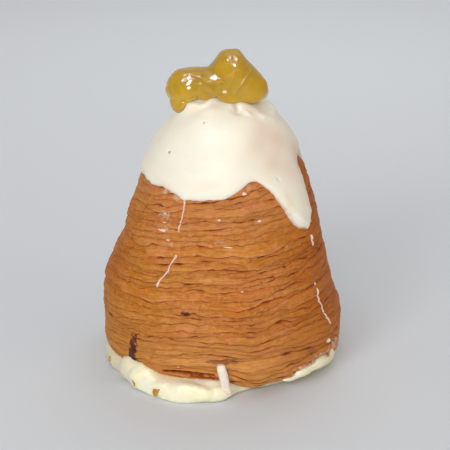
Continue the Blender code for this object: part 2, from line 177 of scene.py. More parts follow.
def placed(angle, radius, height):
    """Points in metres from angles, radii and heights."""
    a = np.radians(angle)
    return np.stack([radius * np.sin(a), -radius * np.cos(a), height + 0.0 * a], axis=-1) * MM


def only(*pieces):
    """Selects these pieces and nothing else."""
    bpy.ops.object.select_all(action="DESELECT")
    for piece in pieces:
        piece.select_set(True)
    bpy.context.view_layer.objects.active = pieces[0]


def in_edit(piece, work):
    """Runs edit-mode work on a piece with all of it selected."""
    only(piece)
    bpy.ops.object.mode_set(mode="EDIT")
    bpy.ops.mesh.select_all(action="SELECT")
    work()
    bpy.ops.object.mode_set(mode="OBJECT")


def wrapped_sheet(name, columns, points):
    """A plain grid bent into the given points (rows, columns + 1, 3), its seam and its poles closed."""
    rows = len(points)
    bpy.ops.mesh.primitive_grid_add(x_subdivisions=columns, y_subdivisions=rows - 1, size=2.0)
    piece = bpy.context.active_object
    piece.name = piece.data.name = name
    flat = np.empty(len(piece.data.vertices) * 3)
    piece.data.vertices.foreach_get("co", flat)
    flat = flat.reshape(-1, 3)
    column = np.rint((flat[:, 0] + 1.0) / 2.0 * columns).astype(int)
    row = np.rint((flat[:, 1] + 1.0) / 2.0 * (rows - 1)).astype(int)
    piece.data.vertices.foreach_set("co", points[row, column].ravel())
    return piece, row, column


def marked(piece, name, values, kind="FLOAT"):
    """Stores a value or a colour at each point of a piece."""
    field = "value" if kind == "FLOAT" else "color"
    attribute = piece.data.attributes.new(name, kind, "POINT")
    attribute.data.foreach_set(field, np.ascontiguousarray(values, np.float32).ravel())


def closed_up(piece):
    """Joins the edges that meet, turns the faces outwards and smooths the shading."""

    def work():
        bpy.ops.mesh.remove_doubles(threshold=2e-7)
        bpy.ops.mesh.normals_make_consistent(inside=False)

    in_edit(piece, work)
    bpy.ops.object.shade_smooth()
    return piece


# ---------------------------------------------------------------- pastry layers


def around(angle, middle):
    """Degrees from a middle angle, the short way round."""
    return (angle - middle + 180.0) % 360.0 - 180.0


def fading(angle, rng, shortest, longest, levels):
    """A value that drifts between levels from one short stretch of a seam to the next."""
    knots, at = [], -180.0
    while at < 180.0 - shortest:
        knots.append(at)
        at += rng.uniform(shortest, longest)
    values = rng.choice(levels, len(knots))
    knots, values = np.array(knots + [180.0]), np.append(values, values[0])
    before = np.clip(np.searchsorted(knots, angle, side="right") - 1, 0, len(knots) - 2)
    share = (angle - knots[before]) / (knots[before + 1] - knots[before])
    return values[before] + (values[before + 1] - values[before]) * ramp(share, 0.15, 0.85)


def layer_seams(angle):
    """Heights of the seams between layers round the bell: an even stack whose sheets thin out and swell."""
    rng = np.random.default_rng(LAYER_SEED)
    thick = rng.choice([0.6, 0.8, 1.0, 1.25, 1.7], LAYERS, p=[0.2, 0.25, 0.2, 0.2, 0.15])
    thick = (thick * np.linspace(0.72, 1.28, LAYERS))[:, None] * np.ones(len(angle))
    for layer in range(LAYERS):
        for _ in range(rng.integers(1, 4)):
            reach = rng.uniform(14, 36)
            thick[layer] *= 1.0 - 0.86 * lobe(angle, rng.uniform(-180, 180), reach, reach * rng.uniform(0.6, 1.4), 2.2, 1.4)
    share = np.concatenate([0.0 * thick[:1], np.cumsum(thick, axis=0)])
    share /= share[-1:]
    drift = share - share.mean(axis=1, keepdims=True)
    near = np.exp(-(((np.arange(LAYERS + 1)[:, None] - np.arange(LAYERS + 1)) / 3.0) ** 2))
    share -= (near / near.sum(axis=1, keepdims=True)) @ drift
    foot = 2.0 + foot_lift(angle, 2.0)
    seams = foot + (LAYERS_END - foot) * share
    level = seams.copy()
    loose = ramp(level, 2.0, 16.0)
    crumpled = 1.0 + 4.0 * turn_bump(angle, 66, 16) * bump(level, 7.0, 5.0)
    pitch = (LAYERS_END - 2.0) / LAYERS
    own = np.array([
        0.10 * waves(angle, 0.0, (1, 6), 1.0, 7, 100 + k) + 0.06 * waves(angle, 0.0, (8, 18), 1.0, 12, 200 + k)
        for k in range(LAYERS + 1)
    ])
    for seam in range(1, LAYERS):
        for _ in range(rng.integers(0, 3)):
            own[seam] += rng.choice([-0.35, 0.35]) * turn_bump(angle, rng.uniform(-180, 180), rng.uniform(10, 26))
    seams += pitch * own * ramp(level, 1.9, 5.0)
    torn = np.array([fading(angle, rng, 1.6, 9.0, [-0.3, -0.14, 0.0, 0.0, 0.14, 0.3]) for _ in seams])
    seams += torn * ramp(level, 2.4, 6.0)
    seams += ARCH * np.cos(np.radians(angle - ARCH_MIDDLE)) * loose
    seams += 0.12 * waves(angle, level, (2, 6), 22.0, 14, 31) * loose
    seams += 0.045 * waves(angle, level, (14, 36), 6.0, 26, 32) * crumpled * ramp(level, 2.0, 6.0)
    seams += 0.035 * waves(angle, level * 3.0, (45, 130), 3.5, 40, 33) * ramp(level, 2.0, 4.0)
    for middle, height, reach, rise in ARCHED_FLAKES:
        above = ramp(level, height - 0.6, height + 0.6) * np.exp(-np.maximum(level - height, 0.0) / 3.4)
        seams += rise * turn_bump(angle, middle, reach) ** 1.5 * above
    for seam in range(1, LAYERS + 1):
        seams[seam] = np.maximum(seams[seam], seams[seam - 1] + 0.13)
    return seams


def seam_openness(angle, seams):
    """For each seam: how open it is from 0 to 1, its gap and its depth."""
    rng = np.random.default_rng(LAYER_SEED + 2)
    levels = [0.0, 0.05, 0.15, 0.3, 0.55, 0.95]
    openness = np.array([fading(angle, rng, 3.0, 12.0, levels) for _ in seams])
    openness = openness * (0.8 + 0.2 * np.array([waves(angle, 0.0, (20, 60), 1.0, 9, 300 + k) for k in range(len(seams))]))
    openness = np.clip(openness, 0.0, 1.0)
    calm = np.zeros_like(openness)
    for middle, height, wide, high, _ in SMOOTH_SHEETS:
        inside = np.exp(-((np.abs(around(angle, middle)) / wide) ** 6)) * np.exp(-((np.abs(seams - height) / high) ** 6))
        calm = np.maximum(calm, inside)
    openness *= 1.0 - 0.9 * calm
    gap = FAINT_GAP + OPEN_GAP * openness**1.4
    depth = FAINT_GROOVE + OPEN_GROOVE * openness**1.2
    for middle, height, reach, wide, deep in OPEN_SEAMS:
        column = int(np.argmin(np.abs(around(angle, middle))))
        seam = int(np.argmin(np.abs(seams[:, column] - height)))
        share = lobe(angle, middle, reach, reach, 2.2, 0.9)
        share = np.clip(share * (0.8 + 0.25 * waves(angle, 0.0, (20, 50), 1.0, 9, seam)), 0.0, 1.2)
        openness[seam] = np.maximum(openness[seam], share)
        gap[seam] = np.maximum(gap[seam], (FAINT_GAP + wide) * share)
        depth[seam] = np.maximum(depth[seam], deep * share)
    return openness, gap, depth


def sheet_stretches(angle, share, rng, fewest, most):
    """A value from -1 to 1 for each stretch of a sheet, and the dark lines at its ends, painted shade of the cracks:
    slanted and a little ragged.
    """
    ends = np.sort(rng.uniform(-180, 180, rng.integers(fewest, most + 1)))
    level = rng.uniform(-1.0, 1.0, len(ends))
    value, crack_shade = np.full(np.broadcast(angle, share).shape, level[-1]), 0.0
    for end, here, before in zip(ends, level, np.roll(level, 1)):
        away = angle - end - rng.uniform(-1.6, 1.6) * (share - 0.5) - 0.3 * np.sin(7.0 * share + end)
        value = value + (here - before) * ramp(away, -0.35, 0.35)
        crack_shade = np.maximum(crack_shade, np.exp(-((away / 0.45) ** 2)) * min(0.4, 0.25 * abs(here - before)))
    return value, crack_shade


def layer_tones(angle, share):
    """How far each stretch of each layer stands out, how pale it is baked, and the painted shade of its cracks."""
    rng = np.random.default_rng(LAYER_SEED + 1)
    out, tone, crack_shade = [], [], []
    group_out = group_tone = None
    for layer in range(LAYERS):
        if layer % 3 == 0:
            (group_out, _), (group_tone, _) = sheet_stretches(angle, share, rng, 3, 6), sheet_stretches(angle, share, rng, 3, 6)
        own_out, own_crack_shade = sheet_stretches(angle, share, rng, 7, 15)
        own_tone, _ = sheet_stretches(angle, share, rng, 6, 14)
        out.append(0.10 * own_out + 0.09 * group_out)
        tone.append(0.65 * own_tone + 0.35 * group_tone)
        crack_shade.append(own_crack_shade)
    return np.array(out), np.array(tone), np.array(crack_shade)


def sheet_rise(angle, height):
    """How far the smooth sheets and the sheets' ends stand out, and the painted shade of the cracks along those ends.
    """
    rise, crack_shade = 0.0, 0.0
    for middle, level, wide, high, out in SMOOTH_SHEETS:
        away = np.abs(around(angle, middle))
        slant = height - level - 0.05 * around(angle, middle)
        inside = (1.0 - ramp(away, wide - 2.0, wide)) * (1.0 - ramp(np.abs(slant), high - 0.5, high))
        rise = np.maximum(rise, out * inside)
    for middle, low, high, lean, out in SHEET_ENDS:
        share = (height - low) / (high - low)
        away = around(angle, middle) - lean * (share - 0.5) - 0.35 * np.sin(5.0 * share + middle)
        within = ramp(height, low - 0.4, low + 0.2) * (1.0 - ramp(height, high - 0.2, high + 0.4))
        side = np.where(away > 0, np.exp(-np.maximum(away, 0.0) / 7.0), 0.0) * ramp(away, -0.3, 0.3)
        if out < 0:
            side = np.where(away < 0, np.exp(-np.maximum(-away, 0.0) / 7.0), 0.0) * ramp(-away, -0.3, 0.3)
        rise = rise + abs(out) * side * within
        faint = (0.1 + 0.5 * np.sin(2.3 * height + middle) ** 2) * abs(out) / 0.4
        crack_shade = np.maximum(crack_shade, faint * np.exp(-((away / 0.5) ** 2)) * within)
    return rise, crack_shade


def layer_faces(angle):
    """Heights, radii and marks of every row of every layer, the crevice above each included."""
    seams = layer_seams(angle)
    openness, gap, depth = seam_openness(angle, seams)
    share = FACE_SHARES[:, None]
    out, tone, crack_shade = layer_tones(angle[None], share)
    share = share[None]
    turned_in = np.array([ramp(waves(angle, 0.0, (2, 7), 1.0, 6, 500 + k), 0.9, 1.3) for k in range(LAYERS + 1)])
    step = (1.0 - 1.6 * turned_in) * (FAINT_STEP + OPEN_STEP * openness)
    low, high = (seams[:-1] + gap[:-1] / 2)[:, None], (seams[1:] - gap[1:] / 2)[:, None]
    high = np.maximum(high, low + 0.05)
    height = low + (high - low) * share
    thick = high - low
    relief = LENS * np.minimum(thick, 2.0) * (1.0 - np.abs(2 * share - 1.0) ** 2.4)
    relief = relief + 0.5 * step[:-1, None] * (1.0 - share) ** 1.4 - 0.5 * step[1:, None] * share**1.8
    relief = relief + out + 0.035 * waves(angle, height, (30, 90), 1.4, 24, 41)
    relief = relief + 0.26 * waves(angle, height, (2, 8), 24.0, 14, 42) * ramp(height, 2.0, 8.0)
    sheets, ends = sheet_rise(angle, height)
    hollow = blotch(angle, height, FOOT_HOLLOWS, 0.0, 63)
    crumple = turn_bump(angle, 66, 15) * bump(height, 6.0, 4.0) + 0.9 * turn_bump(angle, 30, 22) * bump(height, 4.6, 2.8)
    relief = relief + 2.0 * turn_bump(angle, 14, 10) * bump(height, 2.6, 1.8)
    relief = relief + sheets - hollow - 0.10 + 0.35 * crumple * waves(angle, height, (18, 44), 5.0, 22, 43)
    radius = bell_radius(angle, height - foot_lift(angle, height)) + relief
    edge = np.minimum(radius[:-1, -1], radius[1:, 0])
    crevice_radius = np.concatenate([edge - depth[1:-1], (radius[-1:, -1] - 0.3)])
    crevice_height = np.concatenate([(height[:-1, -1] + height[1:, 0]) / 2, height[-1:, -1] + 0.1])
    # Painted shade, partly toasted brown: darker at the foot and top of each layer where the next sheet overlaps it,
    # and in the foot hollows.
    crevice_toast_and_shade = np.zeros_like(height)
    crevice_toast_and_shade[:, 0] = 0.40 * openness[:-1]
    crevice_toast_and_shade[:, -1] = 0.6 * openness[1:] + 0.12
    crevice_toast_and_shade[:, -2] = 0.42 * openness[1:]
    crevice_toast_and_shade[:, -3] = 0.22 * openness[1:]
    crevice_toast_and_shade = np.maximum(crevice_toast_and_shade, 0.8 * np.clip(hollow / 1.8, 0.0, 1.0))
    # Pale lower rim of each layer: partly the sheet's paler edge, partly painted highlight where the rim catches the
    # light.
    rim = np.zeros_like(height)
    rim[:, :3] = np.array([0.8, 1.0, 0.5])[None, :, None] * (0.2 + 0.8 * openness[:-1, None])
    leaf = np.arange(LAYERS)[:, None, None] + share + 0.0 * height
    faces = [height, radius, crevice_toast_and_shade, rim, leaf, tone, np.maximum(0.8 * crack_shade, ends)]
    one = np.ones_like(crevice_height)
    tops = np.arange(1, LAYERS + 1)[:, None] + 0.0 * one
    seam_rows = [crevice_height, crevice_radius, one * (0.45 + 0.55 * openness[1:]), 0 * one, tops, tone[:, -1], 0 * one]
    return [np.concatenate([f, s[:, None]], axis=1) for f, s in zip(faces, seam_rows)]


def blotch(angle, height, marks, ragged, seed):
    """The strongest of some small marks: angle, height, half width, half height, lean, strength."""
    total = 0.0
    rough = ragged * waves(angle, height, (40, 120), 1.6, 24, seed)
    for middle, level, wide, high, lean, strength in marks:
        across = around(angle, middle + lean * (height - level)) / wide
        distance = np.hypot(across, (height - level) / high) + rough
        total = np.maximum(total, strength * (1.0 - ramp(distance, 0.75, 1.15)))
    return total


SCORCH = [
    (-47.2, 12.0, 2.7, 5.6, 0.2, 1.0), (-45.2, 8.4, 2.4, 0.9, 0.0, 0.8), (-18.0, 27.5, 2.0, 0.7, 0.0, 1.0),
    (-12.6, 26.3, 2.4, 0.35, -2.0, 0.7), (0.0, 12.6, 8.0, 0.6, 0.0, 0.65), (3.4, 13.4, 4.0, 0.4, 0.0, 0.5), (47.0, 11.4, 3.6, 1.6, -1.0, 0.35),
    (-64, 28, 1.0, 0.8, 0.0, 0.35), (132, 26, 1.6, 3.4, 0.2, 0.8), (-150, 18, 1.2, 0.8, 0.0, 0.8),
    (168, 44, 2.4, 0.5, 0.0, 0.7),
]
# Pale pinkish patches on the flakes, partly paler baking and partly painted sheen: angle, height, half width, half
# height, lean, strength.
BLUSH_AND_SHEEN = [
    (31.0, 20.6, 6.0, 1.4, 0.0, 0.8), (-17.0, 22.8, 4.4, 1.0, 0.0, 0.6), (-41.0, 56.0, 6.0, 2.0, 0.0, 0.5),
    (-40.0, 51.5, 6.0, 1.4, 0.0, 0.5), (14.0, 64.6, 8.0, 1.6, 0.0, 0.6), (22.0, 59.0, 6.0, 2.0, 0.0, 0.4),
    (4.0, 53.0, 9.0, 1.0, 0.0, 0.5), (4.0, 3.6, 6.0, 1.0, 0.0, 0.4), (-120, 30, 8, 1.6, 0, 0.5), (150, 40, 7, 1.4, 0, 0.6),
]
# Thin whitish films of dried icing and cream.
FILMS = [
    (-40.0, 55.2, 3.6, 1.0, 0.0, 0.5), (-38.0, 51.2, 4.4, 0.7, 0.0, 0.55), (-42.0, 62.0, 3.4, 0.8, 0.0, 0.6),
    (-33.0, 61.0, 3.0, 0.9, 0.0, 0.6), (-31.0, 47.0, 1.6, 0.5, 0.0, 0.5), (18.0, 65.0, 2.6, 0.9, 0.0, 0.5),
    (56.0, 7.6, 9.0, 1.3, 1.0, 1.0), (71.0, 8.6, 9.0, 1.7, 0.0, 1.0), (40.0, 4.0, 7.0, 0.8, 0.0, 0.7),
    (45.0, 6.2, 7.0, 0.9, 0.0, 0.85), (-2.0, 49.2, 3.0, 0.3, 0.0, 0.5), (-150, 56, 4, 1.0, 0, 0.5), (140, 50, 3, 1.2, 0, 0.5),
]


def scattered(count, strongest, seed):
    """Small marks at random places on the layers: angle, height, half width, half height, lean, strength."""
    rng = np.random.default_rng(seed)
    return [
        (rng.uniform(-180, 180), rng.uniform(8, 68), rng.uniform(1.5, 7.0), rng.uniform(0.4, 1.1), 0.0, rng.uniform(0.3, strongest))
        for _ in range(count)
    ]


def make_pastry():
    """The bell in three pieces, one above the other, that meet in crevices."""
    angle = np.linspace(-180.0, 180.0, LAYER_COLUMNS + 1)
    rows = layer_faces(angle)
    height = rows[0]
    rows += [
        blotch(angle, height, SCORCH, 0.16, 61),
        blotch(angle, height, BLUSH_AND_SHEEN + scattered(90, 0.9, 65), 0.3, 62),
        # Painted shade: deeper red-orange on the left and right sides, where the light falls off.
        turn_bump(angle, -78, 16) * bump(height, 36, 11) + 0.9 * turn_bump(angle, 82, 40),
        blotch(angle, height, FILMS, 0.3, 64),
    ]
    third = LAYERS // 3
    names = ("pastry_lower_layers", "pastry_middle_layers", "pastry_upper_layers")
    cuts = (0, third, 2 * third, LAYERS)
    return [
        pastry_piece(name, angle, [r[start:end] for r in rows], end == LAYERS, start == 0)
        for name, start, end in zip(names, cuts, cuts[1:])
    ]


def pastry_piece(name, angle, rows, has_dome, has_foot):
    """One third of the bell as a closed piece."""
    rows = [r.reshape(-1, len(angle)) for r in rows]
    height, radius = rows[0], rows[1]
    first, last, flat = height[:1], height[-1:], 0.0 * height[:1]
    under = [(radius[:1] - 4.0, first), (flat, flat + first.mean())]
    over = [(radius[-1:] - 4.0, last), (flat, flat + last.mean())]
    if has_foot:
        under = [(flat + 31.0, first + 0.15), (flat + 26.0, first + 0.1), (flat, flat + 2.2)]
    if has_dome:
        length = np.interp(-last, -DOWN_LINE[:, 0], DOWN_LENGTH) * (1.0 - np.linspace(0.0, 1.0, 6)[1:, None])
        top_r = np.interp(length, DOWN_LENGTH, DOWN_LINE[:, 1]) - 0.4
        over = [(np.maximum(top_r, 0.0), np.interp(length, DOWN_LENGTH, DOWN_LINE[:, 0]))]
        over[0][0][-1] = 0.0
    under_r, under_z = (np.concatenate([u[i] for u in under[::-1]]) for i in (0, 1))
    over_r, over_z = (np.concatenate([o[i] for o in over]) for i in (0, 1))
    points = placed(angle, np.concatenate([under_r, radius, over_r]), np.concatenate([under_z, height, over_z]))
    points[:, -1] = points[:, 0]
    piece, row, column = wrapped_sheet(name, LAYER_COLUMNS, points)

    def spread(values):
        before, after = np.repeat(values[:1], len(under_r), 0), np.repeat(values[-1:], len(over_r), 0)
        return np.concatenate([before, values, after])[row, column]

    crevice_toast_and_shade, rim, leaf, tone, crack_shade, scorch, blush_and_sheen, red, film = [spread(r) for r in rows[2:]]
    marked(piece, "leaf", leaf)
    marked(piece, "crack_shade", crack_shade)
    marked(piece, "bake_and_shade", np.stack([crevice_toast_and_shade, rim, tone * 0.5 + 0.5, scorch], axis=-1), "FLOAT_COLOR")
    marked(piece, "zone", np.stack([blush_and_sheen, red, film, 0 * red], axis=-1), "FLOAT_COLOR")
    return closed_up(piece)


# ---------------------------------------------------------------- icing

# The icing's edge: angle and height, all the way round.
ICING_EDGE = [
    (-180, 66.2), (-170, 66.6), (-160, 65.6), (-152, 64.0), (-146, 63.0), (-139, 63.6), (-133, 64.6), (-128.5, 61.0),
    (-124, 59.2), (-119.5, 61.2), (-115, 64.6), (-106, 65.4), (-96, 64.4), (-84, 63.4), (-72, 63.3), (-62, 62.8),
    (-52, 62.5), (-45, 62.9), (-39, 62.5), (-34, 61.8), (-30, 61.2), (-26, 60.5), (-22, 60.7), (-18, 60.7), (-10, 61.0),
    (-4, 61.3), (3, 61.8), (8, 62.9), (12, 64.0), (16, 65.2), (20, 66.1), (24, 65.9), (28, 64.9), (32, 63.3), (35, 61.6),
    (37.6, 59.8), (40, 58.0), (42, 56.0), (43.5, 54.2), (45.2, 52.6), (47.6, 51.0), (51, 49.8), (55, 49.1), (57.6, 48.8),
    (60.4, 49.3), (62.2, 50.6), (63.4, 52.8), (64.2, 56.0), (64.9, 60.0), (66.4, 63.6), (69.4, 66.6), (76, 68.5),
    (84, 69.2), (96, 68.8),
    (104, 67.8), (110, 65.4), (113.5, 62.4), (118, 60.7), (122.5, 62.6), (127, 65.8), (136, 67.4), (146, 66.2),
    (150.5, 63.2), (153.5, 59.4), (156.5, 57.0), (160, 56.2), (163.5, 57.2), (166.5, 60.2), (170, 64.4), (180, 66.2),
]
ICING_COLUMNS = 460
ICING_ROWS = 194
ICING_THICKNESS = 1.6
ICING_BEAD = 2.5
ICING_RIM = 0.22
# Where the drips run thicker: angle, height, half width, half height, extra.
ICING_SWELLS = [
    (52, 53, 13, 6, 0.7), (-14, 63, 22, 4, 0.45), (160, 60, 8, 6, 0.6), (118, 64, 8, 5, 0.4), (-124, 63, 7, 5, 0.4),
    (-44, 67, 16, 4, 0.3), (54, 68, 14, 7, 0.3),
]
# Soft rises and dents on top: x, y, half width along x, along y, turn in degrees, rise.
ICING_RISES = [
    (-3.0, -3.4, 1.9, 2.2, 0, 0.7), (-8.6, -4.8, 3.4, 2.4, 20, 2.3), (-12.0, -3.6, 2.0, 2.0, 30, 1.2), (5.0, -6.4, 5.0, 2.0, 0, 0.7),
    (4.3, -9.5, 1.5, 1.0, 0, -0.8), (6.8, -9.3, 1.3, 0.8, -10, 0.55), (-2.6, -9.4, 3.0, 1.6, 0, 0.25),
    (0.0, 6.0, 3.4, 3.0, 0, 1.6), (-9.0, 5.0, 3.0, 2.4, 0, 1.2), (10.5, 3.0, 2.6, 3.2, 0, 0.8),
]
# Soft lips where the icing closed round the fruit: points x, y along each, then half width and rise.
ICING_LIPS = [
    ([(-13.4, -2.4), (-12.4, -4.2), (-10.0, -6.0), (-7.4, -7.2), (-4.8, -7.0), (-3.0, -5.0)], 1.0, 0.6),
    ([(-11.4, -2.6), (-9.2, -4.6), (-6.6, -5.4)], 0.8, -0.3),
    ([(11.2, -8.0), (12.6, -6.6), (13.6, -5.0), (14.2, -3.0)], 1.2, 0.7),
    ([(14.0, 2.0), (11.4, 6.0), (6.0, 9.0), (0.0, 10.0), (-8.0, 8.4)], 1.3, 0.7),
]
# Pinkish-beige tint, partly the baked pastry showing through thinner icing and partly painted shade on the side turned
# from the light: angle, height, half width, half height, strength.
SHEER_AND_SHADE_PLACES = [
    (46, 74, 22, 9, 1.0), (72, 66, 14, 12, 1.0), (34, 80, 8, 4, 0.5), (23, 84.8, 6, 1.2, 0.6), (-44, 85, 12, 1.2, 0.6), (-72, 70, 10, 9, 0.3),
    (-46, 64.0, 9, 1.8, 0.7), (-12, 66, 14, 1.6, 0.3), (44, 59, 3, 6, 0.5), (120, 74, 20, 8, 0.5), (-150, 76, 24, 8, 0.5),
]
# Pinholes and dents: angle, height, size, depth; their darker colour is painted shade in the dips.
PINHOLES = [(-48.0, 72.5, 0.6, 0.45), (-22.6, 81.3, 0.4, 0.36), (40.0, 65.5, 0.5, 0.3), (24.5, 84.6, 1.4, 0.31), (150, 75, 0.45, 0.8)]


def icing_line():
    """The icing's edge as a fine closed line of angles and heights."""
    line = smooth_line(ICING_EDGE, 12)
    return line[np.argsort(line[:, 0], kind="stable")]


def edge_distance(angle, length, radius, line, line_length):
    """Distance over the surface from each point of the icing to its edge."""
    nearest = np.full(angle.shape, 99.0)
    for at_angle, at_length in zip(line[:, 0], line_length):
        away = np.radians((angle - at_angle + 180.0) % 360.0 - 180.0) * radius
        nearest = np.minimum(nearest, np.hypot(away, length - at_length))
    return nearest


def line_distance(x, y, line):
    """Distance from each point to a line of points."""
    nearest = np.full(np.broadcast(x, y).shape, 99.0)
    for (ax, ay), (bx, by) in zip(line[:-1, :2], line[1:, :2]):
        dx, dy = bx - ax, by - ay
        share = np.clip(((x - ax) * dx + (y - ay) * dy) / max(dx * dx + dy * dy, 1e-9), 0.0, 1.0)
        nearest = np.minimum(nearest, np.hypot(x - ax - share * dx, y - ay - share * dy))
    return nearest


def down_the_bell(length):
    """Radius, height and outward slope of the bell at a length down its side."""
    z = np.interp(length, DOWN_LENGTH, DOWN_LINE[:, 0])
    r = np.interp(length, DOWN_LENGTH, DOWN_LINE[:, 1])
    ahead, behind = length + 0.9, np.maximum(length - 0.9, 0.0)
    dz = np.interp(ahead, DOWN_LENGTH, DOWN_LINE[:, 0]) - np.interp(behind, DOWN_LENGTH, DOWN_LINE[:, 0])
    dr = np.interp(ahead, DOWN_LENGTH, DOWN_LINE[:, 1]) - np.interp(behind, DOWN_LENGTH, DOWN_LINE[:, 1])
    size = np.hypot(dr, dz)
    return r, z, -dz / size, dr / size


def icing_skin(angle, length, thickness):
    """Points of the icing at a thickness over the bell."""
    r, z, out, up = down_the_bell(length)
    lean = np.interp(z, LEAN_LINE[:, 0], LEAN_LINE[:, 1]) * np.sin(np.radians(angle)) * ramp(r, 0.0, 8.0)
    return r + lean + out * thickness, z + up * thickness


def make_icing():
    angle = np.linspace(-180.0, 180.0, ICING_COLUMNS + 1)
    line = icing_line()
    edge = np.interp(angle, line[:, 0], line[:, 1]) + 0.1 * waves(angle, 0.0, (18, 60), 1.0, 14, 71)
    edge[-1] = edge[0]
    edge_length = np.interp(-edge, -DOWN_LINE[:, 0], DOWN_LENGTH)
    line_length = np.interp(-edge, -DOWN_LINE[:, 0], DOWN_LENGTH)
    share = np.linspace(0.0, 1.0, ICING_ROWS)[:, None] ** 0.85
    length = edge_length * share
    turn = np.broadcast_to(angle, length.shape)
    r, z, _, _ = down_the_bell(length)
    near = edge_distance(turn, length, r, np.stack([angle, edge], axis=-1)[::2], line_length[::2])
    bead = np.clip(near / ICING_BEAD, 0.0, 1.0)
    thick = ICING_THICKNESS + 0.16 * waves(turn, z, (2, 6), 16.0, 14, 72)
    for middle, level, wide, high, extra in ICING_SWELLS:
        thick = thick + extra * turn_bump(turn, middle, wide) * bump(z, level, high)
    thick = ICING_RIM + (thick - ICING_RIM) * np.sqrt(1.0 - (1.0 - bead) ** 2)
    x, y = r * np.sin(np.radians(turn)), -r * np.cos(np.radians(turn))
    for at_x, at_y, wide, deep, spin, rise in ICING_RISES:
        c, s = math.cos(math.radians(spin)), math.sin(math.radians(spin))
        along, over = (x - at_x) * c + (y - at_y) * s, (y - at_y) * c - (x - at_x) * s
        thick = thick + rise * np.exp(-((along / wide) ** 2) - (over / deep) ** 2)
    for lip, wide, rise in ICING_LIPS:
        thick = thick + rise * np.exp(-((line_distance(x, y, smooth_line(lip, 5)) / wide) ** 2))
    hole_shade = 0.0 * thick
    for middle, level, size, deep in PINHOLES:
        away = np.radians((turn - middle + 180.0) % 360.0 - 180.0) * r
        dip = np.exp(-((away**2 + ((z - level) * 1.1) ** 2) / size**2))
        thick, hole_shade = thick - deep * dip, np.maximum(hole_shade, dip * min(1.0, deep * 2.2))
    outer_r, outer_z = icing_skin(turn, length, thick)
    inner_share = np.linspace(1.0, 0.0, 14)[:, None]
    inner_r, inner_z = icing_skin(np.broadcast_to(angle, (14, len(angle))), edge_length * inner_share, -0.55)
    all_r = np.concatenate([outer_r, inner_r])
    all_z = np.concatenate([outer_z, inner_z])
    all_r[0] = all_r[-1] = 0.0
    all_z[0], all_z[-1] = all_z[0].mean(), all_z[-1].mean()
    points = placed(angle, all_r, all_z)
    points[:, -1] = points[:, 0]
    piece, row, column = wrapped_sheet("icing_cap", ICING_COLUMNS, points)
    marks = np.concatenate([hole_shade, np.zeros_like(inner_r)])
    thin_and_shade = np.concatenate([1.0 - bead, np.ones_like(inner_r)])
    sheer_and_shade = 0.0 * thick
    for middle, level, wide, high, strength in SHEER_AND_SHADE_PLACES:
        sheer_and_shade = np.maximum(sheer_and_shade, strength * turn_bump(turn, middle, wide) * bump(outer_z, level, high))
    sheer_and_shade = np.clip(sheer_and_shade * (1.0 + 0.25 * waves(turn, z, (3, 12), 8.0, 16, 73)), 0.0, 1.6) / 1.6
    marked(piece, "sheer_and_shade", np.concatenate([sheer_and_shade, 0.0 * inner_r])[row, column])
    marked(piece, "hole_shade", marks[row, column])
    marked(piece, "thin_and_shade", thin_and_shade[row, column])
    return closed_up(piece)


# ---------------------------------------------------------------- candied fruit

LEFT_FRUIT = {
    "top": [(-18.0, 90.4), (-16.9, 93.6), (-14.4, 96.2), (-10.0, 96.7), (-6.0, 96.8), (-2.0, 97.4), (2.4, 98.6)],
    "bottom": [(-18.0, 88.4), (-16.6, 86.2), (-14.8, 84.0), (-13.0, 82.8), (-11.6, 84.6), (-8.0, 86.8), (-3.0, 87.4), (2.4, 87.6)],
    "middle": -1.4, "depth": 6.6,
    "lobes": [  # x, y, z, half sizes, turn in the front view
        (-10.8, -4.6, 90.6, 6.2, 4.2, 3.7, 24), (-13.4, -4.5, 86.8, 3.2, 3.3, 4.1, 14), (-5.6, -3.8, 89.9, 4.4, 3.8, 2.9, -6),
        (-3.6, -5.0, 92.8, 4.4, 3.8, 3.8, -14),
    ],
    # Fine ridges and folds: points across and up as seen from the front, half width, rise.
    "folds": [
        ([(-14.0, 91.6), (-12.5, 93.3), (-10.4, 94.5)], 0.6, 0.42),
        ([(-12.6, 94.7), (-10.3, 95.3), (-7.1, 94.0), (-4.4, 92.8), (-2.4, 92.6), (-0.6, 93.0)], 0.55, 0.45),
        ([(-11.6, 93.6), (-9.6, 94.0), (-7.0, 92.8), (-4.2, 91.6), (-2.4, 91.4)], 0.9, -0.3),
        ([(-12.9, 84.6), (-11.8, 85.9), (-10.2, 87.0), (-8.4, 87.7)], 0.5, 0.75),
        ([(-15.1, 92.6), (-15.6, 91.0)], 0.35, 0.15), ([(-3.1, 90.1), (-2.9, 89.8)], 0.6, 0.35),
    ],
}
